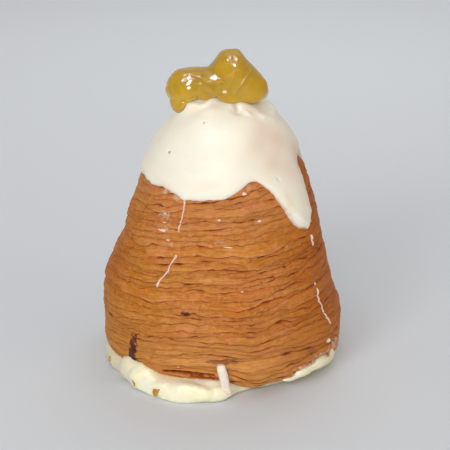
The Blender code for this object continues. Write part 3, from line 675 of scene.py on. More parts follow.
RIGHT_FRUIT = {
    "top": [
        (-6.0, 96.6), (-3.8, 98.2), (-2.1, 100.3), (-0.6, 101.9), (1.1, 102.6), (4.2, 102.9), (5.4, 102.5), (6.6, 101.0),
        (8.2, 99.0), (11.3, 95.8), (13.7, 92.8), (14.7, 90.4),
    ],
    "bottom": [(-6.0, 91.0), (-3.2, 88.6), (-0.6, 87.2), (2.5, 85.2), (6.5, 84.8), (10.0, 85.4), (13.4, 86.8), (14.9, 88.6)],
    "middle": -1.8, "depth": 6.8,
    "lobes": [
        (3.4, -3.8, 98.0, 3.0, 3.2, 3.6, 0), (9.4, -4.4, 90.6, 4.9, 3.6, 4.5, 35), (2.6, -5.4, 89.4, 4.6, 3.2, 3.4, -10),
        (-1.4, -5.2, 92.6, 3.4, 3.6, 4.4, -34),
    ],
    "folds": [
        ([(1.5, 99.6), (1.6, 100.7), (2.6, 101.3), (3.5, 100.6), (3.4, 99.5), (2.5, 99.0), (1.5, 99.6)], 0.3, 0.2),
        ([(2.5, 100.2), (2.6, 100.1)], 0.7, -0.3), ([(3.6, 100.8), (4.6, 101.3), (5.4, 101.8)], 0.35, 0.2),
        ([(0.9, 94.1), (2.3, 94.9), (3.6, 95.4)], 0.45, 0.35), ([(3.6, 95.4), (2.8, 92.9), (1.5, 90.6)], 0.4, 0.3),
        ([(4.9, 95.4), (3.9, 92.6), (2.6, 89.8)], 0.8, -0.4),
        ([(9.0, 96.9), (7.5, 94.1), (5.9, 91.6), (4.5, 90.0), (3.7, 88.5)], 0.4, 0.35),
        ([(9.9, 96.0), (8.4, 93.2), (6.8, 90.8), (5.6, 88.9)], 0.9, -0.25),
        ([(-1.3, 92.2), (0.0, 92.9), (0.9, 91.3), (-0.8, 91.5)], 0.5, 0.35), ([(0.2, 89.0), (0.4, 88.7)], 0.5, 0.3),
        ([(5.8, 91.7), (6.0, 91.5)], 0.45, 0.25), 
        ([(10.2, 97.2), (12.0, 94.6), (13.4, 92.2)], 0.5, 0.2),
    ],
}
FRUIT_VOXEL = 0.21
LOOKED_AT_FROM = 0.338  # How much lower a point shows for each millimetre that it is nearer.


def fruit_body(name, fruit):
    """A soft lump between the fruit's upper and lower outline."""
    bpy.ops.mesh.primitive_uv_sphere_add(segments=96, ring_count=64, radius=1.0)
    piece = bpy.context.active_object
    piece.name = piece.data.name = name
    top, bottom = smooth_line(fruit["top"], 8), smooth_line(fruit["bottom"], 8)
    left, right = top[0, 0], top[-1, 0]
    for vertex in piece.data.vertices:
        # The sphere's poles become the two ends of the lump.
        across, back, up = vertex.co.z, vertex.co.y, vertex.co.x
        x = (left + right) / 2 + across * (right - left) / 2
        high, low = np.interp(x, top[:, 0], top[:, 1]), np.interp(x, bottom[:, 0], bottom[:, 1])
        girth = math.sqrt(max(1e-6, 1.0 - across * across)) ** 0.8
        rise = math.copysign(min(1.0, abs(up / girth)) ** 0.8, up) * min(1.0, girth * 2.2)
        vertex.co = Vector((x, fruit["middle"] + back * fruit["depth"], (high + low) / 2 + rise * (high - low) / 2)) * MM
    return piece


def fruit_lobe(x, y, z, wide, deep, high, turn):
    """A rounded fold of the fruit."""
    bpy.ops.mesh.primitive_ico_sphere_add(subdivisions=4, radius=1.0)
    piece = bpy.context.active_object
    c, s = math.cos(math.radians(turn)), math.sin(math.radians(turn))
    for vertex in piece.data.vertices:
        a, b, h = vertex.co.x * wide, vertex.co.y * deep, vertex.co.z * high
        vertex.co = Vector((x + a * c - h * s, y + b, z + a * s + h * c)) * MM
    return piece


def fused(pieces, voxel, rounds):
    """Joins overlapping lumps into one skin and softens where they meet."""
    only(*pieces)
    bpy.ops.object.join()
    piece = bpy.context.active_object
    remesh = piece.modifiers.new("One skin", "REMESH")
    remesh.mode, remesh.voxel_size = "VOXEL", voxel * MM
    bpy.ops.object.modifier_apply(modifier=remesh.name)
    soften = piece.modifiers.new("Soften", "SMOOTH")
    soften.factor, soften.iterations = 0.5, rounds
    bpy.ops.object.modifier_apply(modifier=soften.name)
    bpy.ops.object.shade_smooth()
    return piece


def wobble(piece, strength, size, seed):
    """Pushes a piece's surface in and out a little, with a smooth noise."""
    rng = np.random.default_rng(seed)
    count = len(piece.data.vertices)
    co, normal = np.empty(count * 3), np.empty(count * 3)
    piece.data.vertices.foreach_get("co", co)
    piece.data.vertices.foreach_get("normal", normal)
    co, normal = co.reshape(-1, 3), normal.reshape(-1, 3)
    total = np.zeros(count)
    for _ in range(18):
        direction = rng.normal(size=3)
        direction *= rng.uniform(0.6, 1.3) * 2 * math.pi / (size * MM * np.linalg.norm(direction))
        total += np.cos(co @ direction + rng.uniform(0, 2 * math.pi))
    co += normal * (strength * MM * total * math.sqrt(2.0 / 18))[:, None]
    piece.data.vertices.foreach_set("co", co.ravel())
    piece.data.update()


def fold_fruit(piece, folds):
    """Raises the fine ridges and presses the folds on the front of the fruit."""
    count = len(piece.data.vertices)
    co, normal = np.empty(count * 3), np.empty(count * 3)
    piece.data.vertices.foreach_get("co", co)
    piece.data.vertices.foreach_get("normal", normal)
    co, normal = co.reshape(-1, 3), normal.reshape(-1, 3)
    across, up = co[:, 0] / MM, co[:, 2] / MM + LOOKED_AT_FROM * (co[:, 1] / MM + 4.0)
    front = ramp(-normal[:, 1], -0.2, 0.3)
    rise = np.zeros(count)
    for line, wide, height in folds:
        rise += 0.75 * height * np.exp(-((line_distance(across, up, smooth_line(line, 5)) / (0.9 * wide)) ** 2))
    co += normal * (rise * front * MM)[:, None]
    piece.data.vertices.foreach_set("co", co.ravel())
    piece.data.update()


FRUIT_SEAM = -3.0  # where the two pieces stick together
FRUIT_TUCK = 2.4  # how far each reaches in under the other


def tucked_half(whole, name, side):
    """One of the two pieces; past the seam its skin dips in under its neighbour's."""
    mesh = bmesh.new()
    mesh.from_mesh(whole.data)
    cut = Vector(((FRUIT_SEAM - side * FRUIT_TUCK) * MM, 0, 0))
    everything = mesh.verts[:] + mesh.edges[:] + mesh.faces[:]
    rim = bmesh.ops.bisect_plane(mesh, geom=everything, plane_co=cut, plane_no=(-side, 0, 0), clear_outer=True)
    edges = [e for e in rim["geom_cut"] if isinstance(e, bmesh.types.BMEdge)]
    bmesh.ops.holes_fill(mesh, edges=edges)
    for edge in edges:
        edge.smooth = False
    mesh.normal_update()
    for vertex in mesh.verts:
        past = max(0.0, side * (FRUIT_SEAM - vertex.co.x / MM)) / FRUIT_TUCK
        vertex.co -= vertex.normal * 0.5 * past * MM
    data = bpy.data.meshes.new(name)
    mesh.to_mesh(data)
    mesh.free()
    only(whole)
    bpy.ops.object.duplicate()
    piece = bpy.context.active_object
    piece.data = data
    piece.name = name
    bpy.ops.object.shade_smooth(keep_sharp_edges=True)
    return piece


def make_fruit():
    """The two pieces of fruit, stuck together by their syrup."""
    lumps = [fruit_body("fruit", fruit) for fruit in (LEFT_FRUIT, RIGHT_FRUIT)]
    lumps += [fruit_lobe(*lobe_) for fruit in (LEFT_FRUIT, RIGHT_FRUIT) for lobe_ in fruit["lobes"]]
    whole = fused(lumps, FRUIT_VOXEL, 34)
    wobble(whole, 0.055, 5.4, 21)
    fold_fruit(whole, LEFT_FRUIT["folds"] + RIGHT_FRUIT["folds"])
    wobble(whole, 0.008, 1.6, 22)
    halves = [tucked_half(whole, "fruit_left", -1), tucked_half(whole, "fruit_right", 1)]
    bpy.data.objects.remove(whole)
    return halves


# ---------------------------------------------------------------- cream

# The cream's outline on the floor and its upper edge on the bell: angle, size.
CREAM_OUTLINE = [
    (-180, 34.4), (-168, 35.0), (-150, 38.0), (-138, 39.0), (-126, 37.6), (-114, 36.0), (-104, 37.0), (-95, 38.2),
    (-79, 38.6), (-69, 38.2), (-62, 37.0), (-57, 37.4), (-52, 38.8), (-43, 41.3), (-34, 42.0), (-26, 43.0), (-17, 43.6),
    (-9.5, 42.0), (-2.5, 38.8), (3.6, 37.2), (8, 34.4), (14, 33.0), (20, 32.2), (34, 31.8), (49, 32.6), (62, 34.8), (72, 36.4),
    (84, 37.2), (96, 36.0), (110, 34.0), (124, 34.0), (138, 37.0), (152, 38.4), (166, 37.0), (180, 34.4),
]
CREAM_EDGE = [
    (-180, 3.4), (-160, 3.4), (-146, 5.0), (-132, 5.4), (-118, 4.0), (-106, 3.6), (-96, 5.0), (-86, 7.4), (-74, 7.6),
    (-63, 6.6), (-53, 7.8), (-42, 8.6), (-35, 7.0), (-30, 5.9), (-17, 6.0), (-3.5, 6.0), (4.5, 5.0), (12, 3.2),
    (22, 2.8), (32, 3.2), (42, 5.6), (50, 6.2), (62, 7.0), (74, 6.8), (86, 5.6), (98, 3.6), (120, 3.0), (138, 4.2),
    (152, 4.8), (166, 4.0), (180, 3.4),
]
CREAM_COLUMNS = 300
# Mounds on the cream: angle, distance out, height, half sizes along, out and up, turn.
CREAM_MOUNDS = [
    (-80, 35.2, 4.6, 5.2, 3.6, 4.0), (-70, 35.0, 3.4, 4.0, 3.6, 3.4), (-50, 36.8, 4.6, 5.6, 4.0, 4.4),
    (-42, 38.2, 4.2, 5.0, 3.6, 3.4), (-34, 38.6, 4.4, 4.8, 1.8, 1.5), (-27, 40.4, 2.6, 5.0, 3.0, 2.6),
    (-15, 39.8, 2.8, 8.0, 3.8, 3.2), (-6, 38.0, 2.2, 6.5, 3.6, 2.9), (38, 35.6, 3.6, 4.5, 1.6, 1.3), (46, 36.8, 4.6, 5.0, 1.6, 1.8),
    (56, 37.3, 5.4, 6.0, 1.4, 1.9), (67, 37.5, 6.4, 5.5, 1.3, 1.8), (77, 37.0, 6.6, 5.0, 1.3, 1.8),
    (152, 35.0, 2.8, 6.0, 3.4, 2.8), (-138, 36.0, 3.2, 6.0, 3.4, 3.0),
]
CREAM_VOXEL = 0.5


def cream_ring():
    """The cream between the bell's foot and its own outline, flat where it rests."""
    angle = np.linspace(-180.0, 180.0, CREAM_COLUMNS + 1)
    outline, edge = smooth_line(CREAM_OUTLINE), smooth_line(CREAM_EDGE)
    out = np.interp(angle, outline[:, 0], outline[:, 1])
    top = np.interp(angle, edge[:, 0], edge[:, 1])
    inner = bell_radius(angle, np.maximum(top - foot_lift(angle, top), 2.4)) - 0.9
    out_here = np.maximum(out, 31.5)
    rows = [(0.0 * inner, 0.0 * inner + 2.4), (0.0 * inner + 25.0, 0.0 * inner + 2.4), (inner - 3.0, top * 0.6), (inner, top)]
    for turn in np.radians([18, 36, 54, 72, 90]):
        rows.append((inner + (out_here - inner) * math.sin(turn), 1.6 + (top - 1.6) * math.cos(turn) ** 0.8))
    rows += [(out_here - 0.25, 0.0 * inner + 0.7), (out_here - 0.9, 0.0 * inner), (0.0 * inner, 0.0 * inner)]
    radius = np.array([r[0] for r in rows])
    height = np.array([r[1] for r in rows])
    points = placed(angle, radius, height)
    points[:, -1] = points[:, 0]
    piece, _, _ = wrapped_sheet("cream_foot", CREAM_COLUMNS, points[::-1])
    return closed_up(piece)


def cream_mound(angle, radius, height, along, out, up):
    """A rounded lump of cream lying along the foot."""
    bpy.ops.mesh.primitive_ico_sphere_add(subdivisions=4, radius=1.0)
    piece = bpy.context.active_object
    a = math.radians(angle)
    side, outward = Vector((math.cos(a), math.sin(a), 0)), Vector((math.sin(a), -math.cos(a), 0))
    for vertex in piece.data.vertices:
        x, y, z = vertex.co
        point = outward * (radius + y * out) + side * (x * along) + Vector((0, 0, height + z * up))
        vertex.co = Vector((point.x, point.y, max(0.0, point.z))) * MM
    return piece


def make_cream():
    piece = fused([cream_ring()] + [cream_mound(*mound) for mound in CREAM_MOUNDS], CREAM_VOXEL, 9)
    piece.name = piece.data.name = "cream_foot"
    wobble(piece, 0.14, 8.0, 81)
    wobble(piece, 0.03, 2.4, 82)
    for vertex in piece.data.vertices:
        vertex.co.z = max(0.0, vertex.co.z)
    return piece


# Bits of candied peel in the cream: angle, distance out, height, half sizes, turn.
PEEL_BITS = [
    (-69.5, 37.7, 3.4, 0.7, 0.8, 1.0, 0), (-42.0, 42.0, 2.6, 0.6, 0.7, 1.25, 20), (-28.8, 43.0, 2.5, 1.7, 0.9, 1.35, 30),
    (-138.0, 38.6, 3.0, 1.2, 0.8, 1.0, 0), (150.0, 37.6, 2.6, 1.3, 0.8, 0.9, 20), (-100.0, 37.4, 2.2, 0.8, 0.8, 0.8, 0),
]


def outward_point(tree, angle, height, fallback):
    """Where the outside of a piece lies at an angle and height, and the way it faces."""
    a = math.radians(angle)
    outward = Vector((math.sin(a), -math.cos(a), 0.0))
    start = outward * 0.06 + Vector((0, 0, height * MM))
    hit, normal, _, _ = tree.ray_cast(start, -outward)
    return (hit, normal) if hit else (outward * fallback * MM + Vector((0, 0, height * MM)), outward)


def make_peel(cream_tree):
    """Small wedges of amber peel half sunk in the cream."""
    bits = []
    for number, (angle, _, height, wide, deep, high, turn) in enumerate(PEEL_BITS):
        at, normal = outward_point(cream_tree, angle, height, 38.0)
        bpy.ops.mesh.primitive_ico_sphere_add(subdivisions=3, radius=1.0)
        bit = bpy.context.active_object
        side = Vector((0, 0, 1)).cross(normal).normalized()
        up = normal.cross(side)
        rng = np.random.default_rng(900 + number)
        facets = [Vector(rng.normal(size=3)).normalized() for _ in range(6)]
        c, s = math.cos(math.radians(turn)), math.sin(math.radians(turn))
        for vertex in bit.data.vertices:
            point = vertex.co.copy()
            for facet in facets:
                point -= facet * max(0.0, point.dot(facet) - 0.62) * 0.9
            a, b = point.x * wide, point.z * high * (1.0 - 0.35 * point.x)
            a, b = a * c - b * s, a * s + b * c
            vertex.co = at + (side * a + up * b + normal * (point.y * deep - 0.12)) * MM
        bits.append(bit)
    only(*bits)
    bpy.ops.object.join()
    piece = bpy.context.active_object
    piece.name = piece.data.name = "candied_peel_bits"
    bpy.ops.object.shade_smooth()
    return piece


# ---------------------------------------------------------------- threads, drops and the strip of icing

# Threads of icing run down the layers: (angle, height, half width) along each.
THREADS = [
    [(-26.2, 61.6, 0.75), (-26.0, 59.8, 0.5), (-26.0, 57.5, 0.36), (-26.3, 55.2, 0.34), (-26.8, 53.4, 0.32), (-27.3, 51.6, 0.5), (-27.4, 50.9, 0.3)],
    [
        (-27.1, 44.1, 0.4), (-27.3, 43.5, 0.55), (-28.3, 42.2, 0.36), (-29.5, 41.0, 0.3), (-29.6, 39.9, 0.42), (-30.0, 39.1, 0.5),
        (-31.4, 38.0, 0.34), (-33.0, 36.7, 0.32), (-34.0, 35.8, 0.5), (-34.3, 34.9, 0.7), (-34.4, 34.2, 0.4),
    ],
    [(61.2, 46.2, 0.55), (61.6, 45.4, 0.85), (61.8, 44.6, 0.6), (62.0, 43.9, 0.45), (62.4, 43.1, 0.6), (62.5, 42.6, 0.35)],
    [(57.0, 29.9, 0.3), (57.0, 29.0, 0.5), (56.2, 27.4, 0.4), (56.4, 25.8, 0.45), (58.0, 24.4, 0.36), (58.0, 22.4, 0.42), (59.2, 20.6, 0.45), (60.8, 18.8, 0.5), (61.6, 17.7, 0.3)],
    [(59.4, 13.1, 0.6), (59.4, 12.85, 1.1), (59.4, 12.4, 1.35), (59.5, 11.95, 1.1), (59.5, 11.7, 0.6)],
    [(140, 55.5, 0.3), (140.3, 53.0, 0.4), (139.8, 50.0, 0.3), (140.6, 47.4, 0.45), (140.8, 46.6, 0.3)],
    [(-150, 61.5, 0.5), (-150.2, 58.0, 0.34), (-149.6, 54.0, 0.32), (-150.4, 51.0, 0.5), (-150.5, 50.2, 0.3)],
]
# Drops and splashes: angle, height, half width, half height, how far they stand out.
DROPS = [
    (57.0, 31.4, 0.5, 0.55, 0.35), (14.8, 63.0, 0.75, 0.5, 0.35), (23.4, 54.5, 0.7, 0.4, 0.3),
    (-38.6, 50.5, 1.5, 0.35, 0.2), (-40.0, 55.4, 0.8, 0.3, 0.32), (-39.0, 52.9, 1.0, 0.28, 0.3), (-33.6, 48.0, 0.6, 0.3, 0.2),
    (-2.0, 55.6, 0.5, 0.3, 0.2), (3.0, 47.4, 1.5, 0.22, 0.15), (14.0, 65.2, 0.6, 0.4, 0.2), (-36.5, 62.4, 0.9, 0.4, 0.2),
    (10.0, 34.4, 0.4, 0.35, 0.15), (-21.0, 10.0, 0.35, 0.25, 0.2), (128, 50, 0.7, 0.5, 0.3), (-160, 40, 0.6, 0.5, 0.3),
    (170, 51.5, 0.5, 0.6, 0.3), (-116, 55.0, 0.6, 0.5, 0.3),
]


def pastry_tree(pieces):
    """Both halves of the bell, for laying things on it."""
    points, faces = [], []
    for piece in pieces:
        start = len(points)
        points += [v.co.copy() for v in piece.data.vertices]
        faces += [[start + i for i in p.vertices] for p in piece.data.polygons]
    return BVHTree.FromPolygons(points, faces)


def smooth_points(points, steps):
    line = smooth_line(points, steps)
    return [tuple(p) for p in line]


def make_threads(tree):
    """Thin runs of icing that cling to the layers."""
    made = []
    for number, run in enumerate(THREADS):
        line = smooth_points(run, 5)
        curve = bpy.data.curves.new(f"run_{number}", "CURVE")
        curve.dimensions, curve.bevel_depth, curve.bevel_resolution, curve.use_fill_caps = "3D", MM, 3, True
        spline = curve.splines.new("POLY")
        spline.points.add(len(line) - 1)
        for point, (angle, height, half) in zip(spline.points, line):
            at, normal = outward_point(tree, angle, height, 38.0)
            at = at + normal * 0.12 * MM
            point.co = (*at, 1.0)
            point.radius = 0.6 * half
        thread = bpy.data.objects.new(f"run_{number}", curve)
        bpy.context.scene.collection.objects.link(thread)
        only(thread)
        bpy.ops.object.convert(target="MESH")
        made.append(bpy.context.active_object)
    for angle, height, wide, high, out in DROPS:
        made.append(icing_drop(tree, angle, height, wide, high, out))
    only(*made)
    bpy.ops.object.join()
    piece = bpy.context.active_object
    piece.name = piece.data.name = "icing_threads_and_drops"
    bpy.ops.object.shade_smooth()
    return piece


def icing_drop(tree, angle, height, wide, high, out):
    """A flat round drop with a slightly uneven rim."""
    at, normal = outward_point(tree, angle, height, 38.0)
    bpy.ops.mesh.primitive_uv_sphere_add(segments=20, ring_count=12, radius=1.0)
    drop = bpy.context.active_object
    side = Vector((0, 0, 1)).cross(normal).normalized()
    up = normal.cross(side)
    for vertex in drop.data.vertices:
        x, y, z = vertex.co
        uneven = 1.0 + 0.14 * math.sin(3 * math.atan2(y, x) + angle) + 0.08 * math.sin(5 * math.atan2(y, x))
        vertex.co = at + (side * (x * wide * uneven) + up * (y * high * uneven) + normal * (z * out)) * MM
    return drop


# The strip of icing at the foot: x, y, z of its middle line and its half width.
STRIP = [
    (-0.5, -38.9, 12.1, 1.2), (-0.3, -39.1, 10.6, 1.45), (0.2, -39.2, 8.6, 1.5), (0.7, -39.2, 6.4, 1.45), (1.1, -39.0, 4.4, 1.4),
    (1.5, -38.7, 2.8, 1.35), (1.8, -38.4, 1.6, 1.1),
]


def make_strip():
    """A blunt stick of icing that leans on the foot."""
    line = smooth_points(STRIP, 8)
    bpy.ops.mesh.primitive_cylinder_add(vertices=28, radius=1.0, depth=2.0, end_fill_type="TRIFAN")
    piece = bpy.context.active_object
    piece.name = piece.data.name = "icing_strip"

    mesh = bmesh.new()
    mesh.from_mesh(piece.data)
    sides = [e for e in mesh.edges if abs(e.verts[0].co.z - e.verts[1].co.z) > 1.0]
    bmesh.ops.subdivide_edges(mesh, edges=sides, cuts=len(line) - 2, use_grid_fill=True)
    top_count = len(line) - 1
    for vertex in mesh.verts:
        place = (1.0 - vertex.co.z) / 2.0 * top_count
        index = min(int(place), top_count - 1)
        share = place - index
        middle = [a + (b - a) * share for a, b in zip(line[index], line[index + 1])]
        end = min(place, top_count - place) / 2.2
        pinch = math.sqrt(max(0.0, 1.0 - (1.0 - min(1.0, end)) ** 2)) * 0.35 + 0.65
        turn = math.atan2(vertex.co.y, vertex.co.x)
        ripple = 1.0 + 0.05 * math.sin(2.0 * place + turn) + 0.04 * math.sin(4.3 * place - 2 * turn)
        size = middle[3] * pinch * ripple * min(1.0, math.hypot(vertex.co.x, vertex.co.y))
        vertex.co = Vector((middle[0] + size * math.cos(turn), middle[1] + 0.8 * size * math.sin(turn), middle[2])) * MM
    bmesh.ops.recalc_face_normals(mesh, faces=mesh.faces)
    mesh.to_mesh(piece.data)
    mesh.free()
    soft = piece.modifiers.new("Round", "SUBSURF")
    soft.levels = soft.render_levels = 2
    only(piece)
    bpy.ops.object.modifier_apply(modifier=soft.name)
    bpy.ops.object.shade_smooth()
    return piece


# ---------------------------------------------------------------- materials


def new_group(name, inputs, outputs):
    """An empty node group with named sockets; inputs are (name, kind, default)."""
    group = bpy.data.node_groups.new(name, "ShaderNodeTree")
    for label, kind, default in inputs:
        socket = group.interface.new_socket(label, in_out="INPUT", socket_type=kind)
        if default is not None:
            socket.default_value = default
    for label, kind in outputs:
        group.interface.new_socket(label, in_out="OUTPUT", socket_type=kind)
    start, end = group.nodes.new("NodeGroupInput"), group.nodes.new("NodeGroupOutput")
    return group, start, end


class Nodes:
    """Adds and links nodes in a tree."""

    def __init__(self, tree):
        self.tree = tree

    def add(self, kind, **settings):
        node = self.tree.nodes.new(kind)
        inputs = settings.pop("inputs", {})
        for key, value in settings.items():
            setattr(node, key, value)
        for key, value in inputs.items():
            if isinstance(value, bpy.types.NodeSocket):
                self.tree.links.new(value, node.inputs[key])
            else:
                node.inputs[key].default_value = value
        return node

    def math(self, operation, a, b=0.0, clamp=False):
        return self.add("ShaderNodeMath", operation=operation, use_clamp=clamp, inputs={0: a, 1: b}).outputs[0]

    def fit(self, value, low, high, to_low=0.0, to_high=1.0, smooth=True):
        node = self.add(
            "ShaderNodeMapRange",
            interpolation_type="SMOOTHSTEP" if smooth else "LINEAR",
            inputs={"Value": value, "From Min": low, "From Max": high, "To Min": to_low, "To Max": to_high},
        )
        return node.outputs[0]

    def mix(self, share, a, b, blend="MIX"):
        node = self.add("ShaderNodeMix", data_type="RGBA", blend_type=blend)
        for socket, value in ((node.inputs[0], share), (node.inputs[6], a), (node.inputs[7], b)):
            if isinstance(value, bpy.types.NodeSocket):
                self.tree.links.new(value, socket)
            else:
                socket.default_value = value
        return node.outputs[2]

    def noise(self, vector, scale, detail=2.0, rough=0.5, distortion=0.0):
        node = self.add("ShaderNodeTexNoise", inputs={"Vector": vector, "Scale": scale, "Detail": detail})
        node.inputs["Roughness"].default_value = rough
        node.inputs["Distortion"].default_value = distortion
        return node.outputs["Fac"]

    def stretch(self, vector, scale):
        return self.add("ShaderNodeMapping", inputs={"Vector": vector, "Scale": scale}).outputs[0]


def rgb(red, green, blue):
    """A linear colour from display values out of 255."""
    return tuple(((c / 255 + 0.055) / 1.055) ** 2.4 if c > 10 else c / 255 / 12.92 for c in (red, green, blue)) + (1.0,)


def mottle_group():
    """Soft uneven patches and fine specks, as masks from 0 to 1."""
    group, start, end = new_group(
        "uneven patches",
        [("Vector", "NodeSocketVector", None), ("Patch Scale", "NodeSocketFloat", 60.0), ("Speck Scale", "NodeSocketFloat", 900.0)],
        [("Patches", "NodeSocketFloat"), ("Specks", "NodeSocketFloat")],
    )
    n = Nodes(group)
    patches = n.noise(start.outputs["Vector"], start.outputs["Patch Scale"], 3.0, 0.55, 0.4)
    specks = n.noise(start.outputs["Vector"], start.outputs["Speck Scale"], 2.0, 0.6)
    group.links.new(n.fit(patches, 0.3, 0.7), end.inputs["Patches"])
    group.links.new(n.fit(specks, 0.35, 0.65), end.inputs["Specks"])
    return group


def new_material(name):
    material = bpy.data.materials.new(name)
    material.use_nodes = True
    n = Nodes(material.node_tree)
    shader = material.node_tree.nodes["Principled BSDF"]
    place = n.add("ShaderNodeTexCoord").outputs["Object"]
    return material, n, shader, place


def pastry_material(mottle):
    """Baked, buttery pastry: golden faces, pale rims partly painted as highlight, amber crevices partly painted as
    shade, and fine strands along each layer.
    """
    material, n, shader, place = new_material("baked_layers")
    bake_and_shade_marks = n.add("ShaderNodeAttribute", attribute_name="bake_and_shade")
    bake_and_shade = n.add("ShaderNodeSeparateColor", inputs={0: bake_and_shade_marks.outputs["Color"]})
    scorch = bake_and_shade_marks.outputs["Alpha"]
    zone = n.add("ShaderNodeSeparateColor", inputs={0: n.add("ShaderNodeAttribute", attribute_name="zone").outputs["Color"]})
    leaf = n.add("ShaderNodeAttribute", attribute_name="leaf").outputs["Fac"]
    crack_shade = n.add("ShaderNodeAttribute", attribute_name="crack_shade").outputs["Fac"]
    crevice_toast_and_shade, rim, tone = bake_and_shade.outputs[0], bake_and_shade.outputs[1], bake_and_shade.outputs[2]
    blush_and_sheen, red, film = zone.outputs[0], zone.outputs[1], zone.outputs[2]
    split = n.add("ShaderNodeSeparateXYZ", inputs={0: place})
    along = n.add("ShaderNodeCombineXYZ", inputs={
        0: split.outputs[0], 1: split.outputs[1], 2: n.math("MULTIPLY", leaf, 0.024)}).outputs[0]
    strands = n.noise(along, 150.0, 3.0, 0.6, 0.1)
    fine = n.noise(n.stretch(along, (1.0, 1.0, 2.4)), 170.0, 2.0, 0.6, 0.0)
    ridges = n.math("ABSOLUTE", n.math("SUBTRACT", n.noise(n.stretch(along, (0.8, 0.8, 1.1)), 140.0, 1.0, 0.5, 0.0), 0.5))
    hairline = n.fit(ridges, 0.0, 0.022, 1.0, 0.0)
    grouped = n.add("ShaderNodeGroup", node_tree=mottle, inputs={"Vector": place, "Patch Scale": 75.0, "Speck Scale": 1300.0})
    patches, specks = grouped.outputs["Patches"], grouped.outputs["Specks"]
    broad = n.noise(place, 30.0, 2.0, 0.5)
    golden, orange = rgb(208, 138, 60), rgb(203, 123, 48)
    pale, amber = rgb(222, 158, 96), rgb(182, 92, 18)
    brown, deep = rgb(152, 60, 6), rgb(104, 36, 4)
    colour = n.mix(n.fit(broad, 0.38, 0.62), golden, orange)
    # Deeper orange towards the right and left sides: partly uneven baking, partly painted shade of the sides away from
    # the light.
    colour = n.mix(n.fit(split.outputs[0], 0.012, 0.034, 0.0, 0.9), colour, rgb(198, 112, 0))
    colour = n.mix(n.fit(split.outputs[0], -0.012, -0.034, 0.0, 0.75), colour, rgb(202, 128, 10))
    colour = n.mix(n.fit(patches, 0.45, 1.0, 0.0, 0.4), colour, rgb(220, 146, 78))
    oven = n.noise(n.stretch(place, (1.0, 1.0, 1.6)), 62.0, 2.0, 0.5, 0.4)
    colour = n.mix(n.fit(oven, 0.52, 0.66, 0.0, 0.55), colour, rgb(190, 130, 34))
    colour = n.mix(n.fit(oven, 0.47, 0.34, 0.0, 0.4), colour, rgb(216, 140, 88))
    colour = n.mix(n.fit(tone, 0.5, 0.95, 0.0, 0.65), colour, amber)
    colour = n.mix(n.fit(tone, 0.45, 0.05, 0.0, 0.45), colour, pale)
    face = n.math("FRACT", leaf)
    # Amber towards each layer's top, partly thicker overlapping sheet and partly painted shade under the sheet above;
    # paler towards its foot, partly painted highlight.
    colour = n.mix(n.math("MULTIPLY", n.fit(face, 0.5, 1.0, 0.0, 0.6), n.fit(patches, 0.1, 0.8, 0.55, 1.0)), colour, amber)
    colour = n.mix(n.fit(face, 0.42, 0.05, 0.0, 0.25), colour, pale)
    colour = n.mix(n.fit(strands, 0.50, 0.68, 0.0, 0.34), colour, amber)
    colour = n.mix(n.fit(strands, 0.46, 0.32, 0.0, 0.4), colour, pale)
    colour = n.mix(n.fit(fine, 0.54, 0.68, 0.0, 0.22), colour, amber)
    colour = n.mix(n.fit(fine, 0.42, 0.30, 0.0, 0.3), colour, pale)
    colour = n.mix(n.math("MULTIPLY", hairline, 0.28), colour, brown)
    blisters = n.noise(place, 620.0, 2.0, 0.55, 0.3)
    colour = n.mix(n.fit(blisters, 0.52, 0.64, 0.0, 0.4), colour, rgb(220, 150, 92))
    colour = n.mix(n.fit(blisters, 0.46, 0.36, 0.0, 0.3), colour, amber)
    colour = n.mix(n.fit(split.outputs[2], 0.044, 0.062, 0.0, 0.3), colour, rgb(218, 150, 100))
    # Pale rims: partly the sheets' paler edges, partly painted highlight.
    colour = n.mix(n.math("MULTIPLY", rim, 0.5), colour, rgb(224, 154, 104))
    # Pinkish patches: partly paler baking, partly painted sheen.
    colour = n.mix(n.math("MULTIPLY", blush_and_sheen, 0.6), colour, rgb(218, 140, 96))
    # Painted shade on the sides where the light falls off.
    colour = n.mix(n.math("MULTIPLY", red, 0.7), colour, rgb(184, 88, 4))
    colour = n.mix(n.fit(split.outputs[2], 0.004, 0.030, 0.55, 0.0), colour, rgb(224, 160, 92))
    # More of the same painted shade towards both sides.
    colour = n.mix(n.fit(split.outputs[0], 0.012, 0.034, 0.0, 0.35), colour, rgb(198, 110, 0))
    colour = n.mix(n.fit(split.outputs[0], -0.016, -0.036, 0.0, 0.3), colour, rgb(196, 122, 0))
    # Painted shade along the cracks where sheets end.
    colour = n.mix(n.math("MULTIPLY", crack_shade, 0.8), colour, brown)
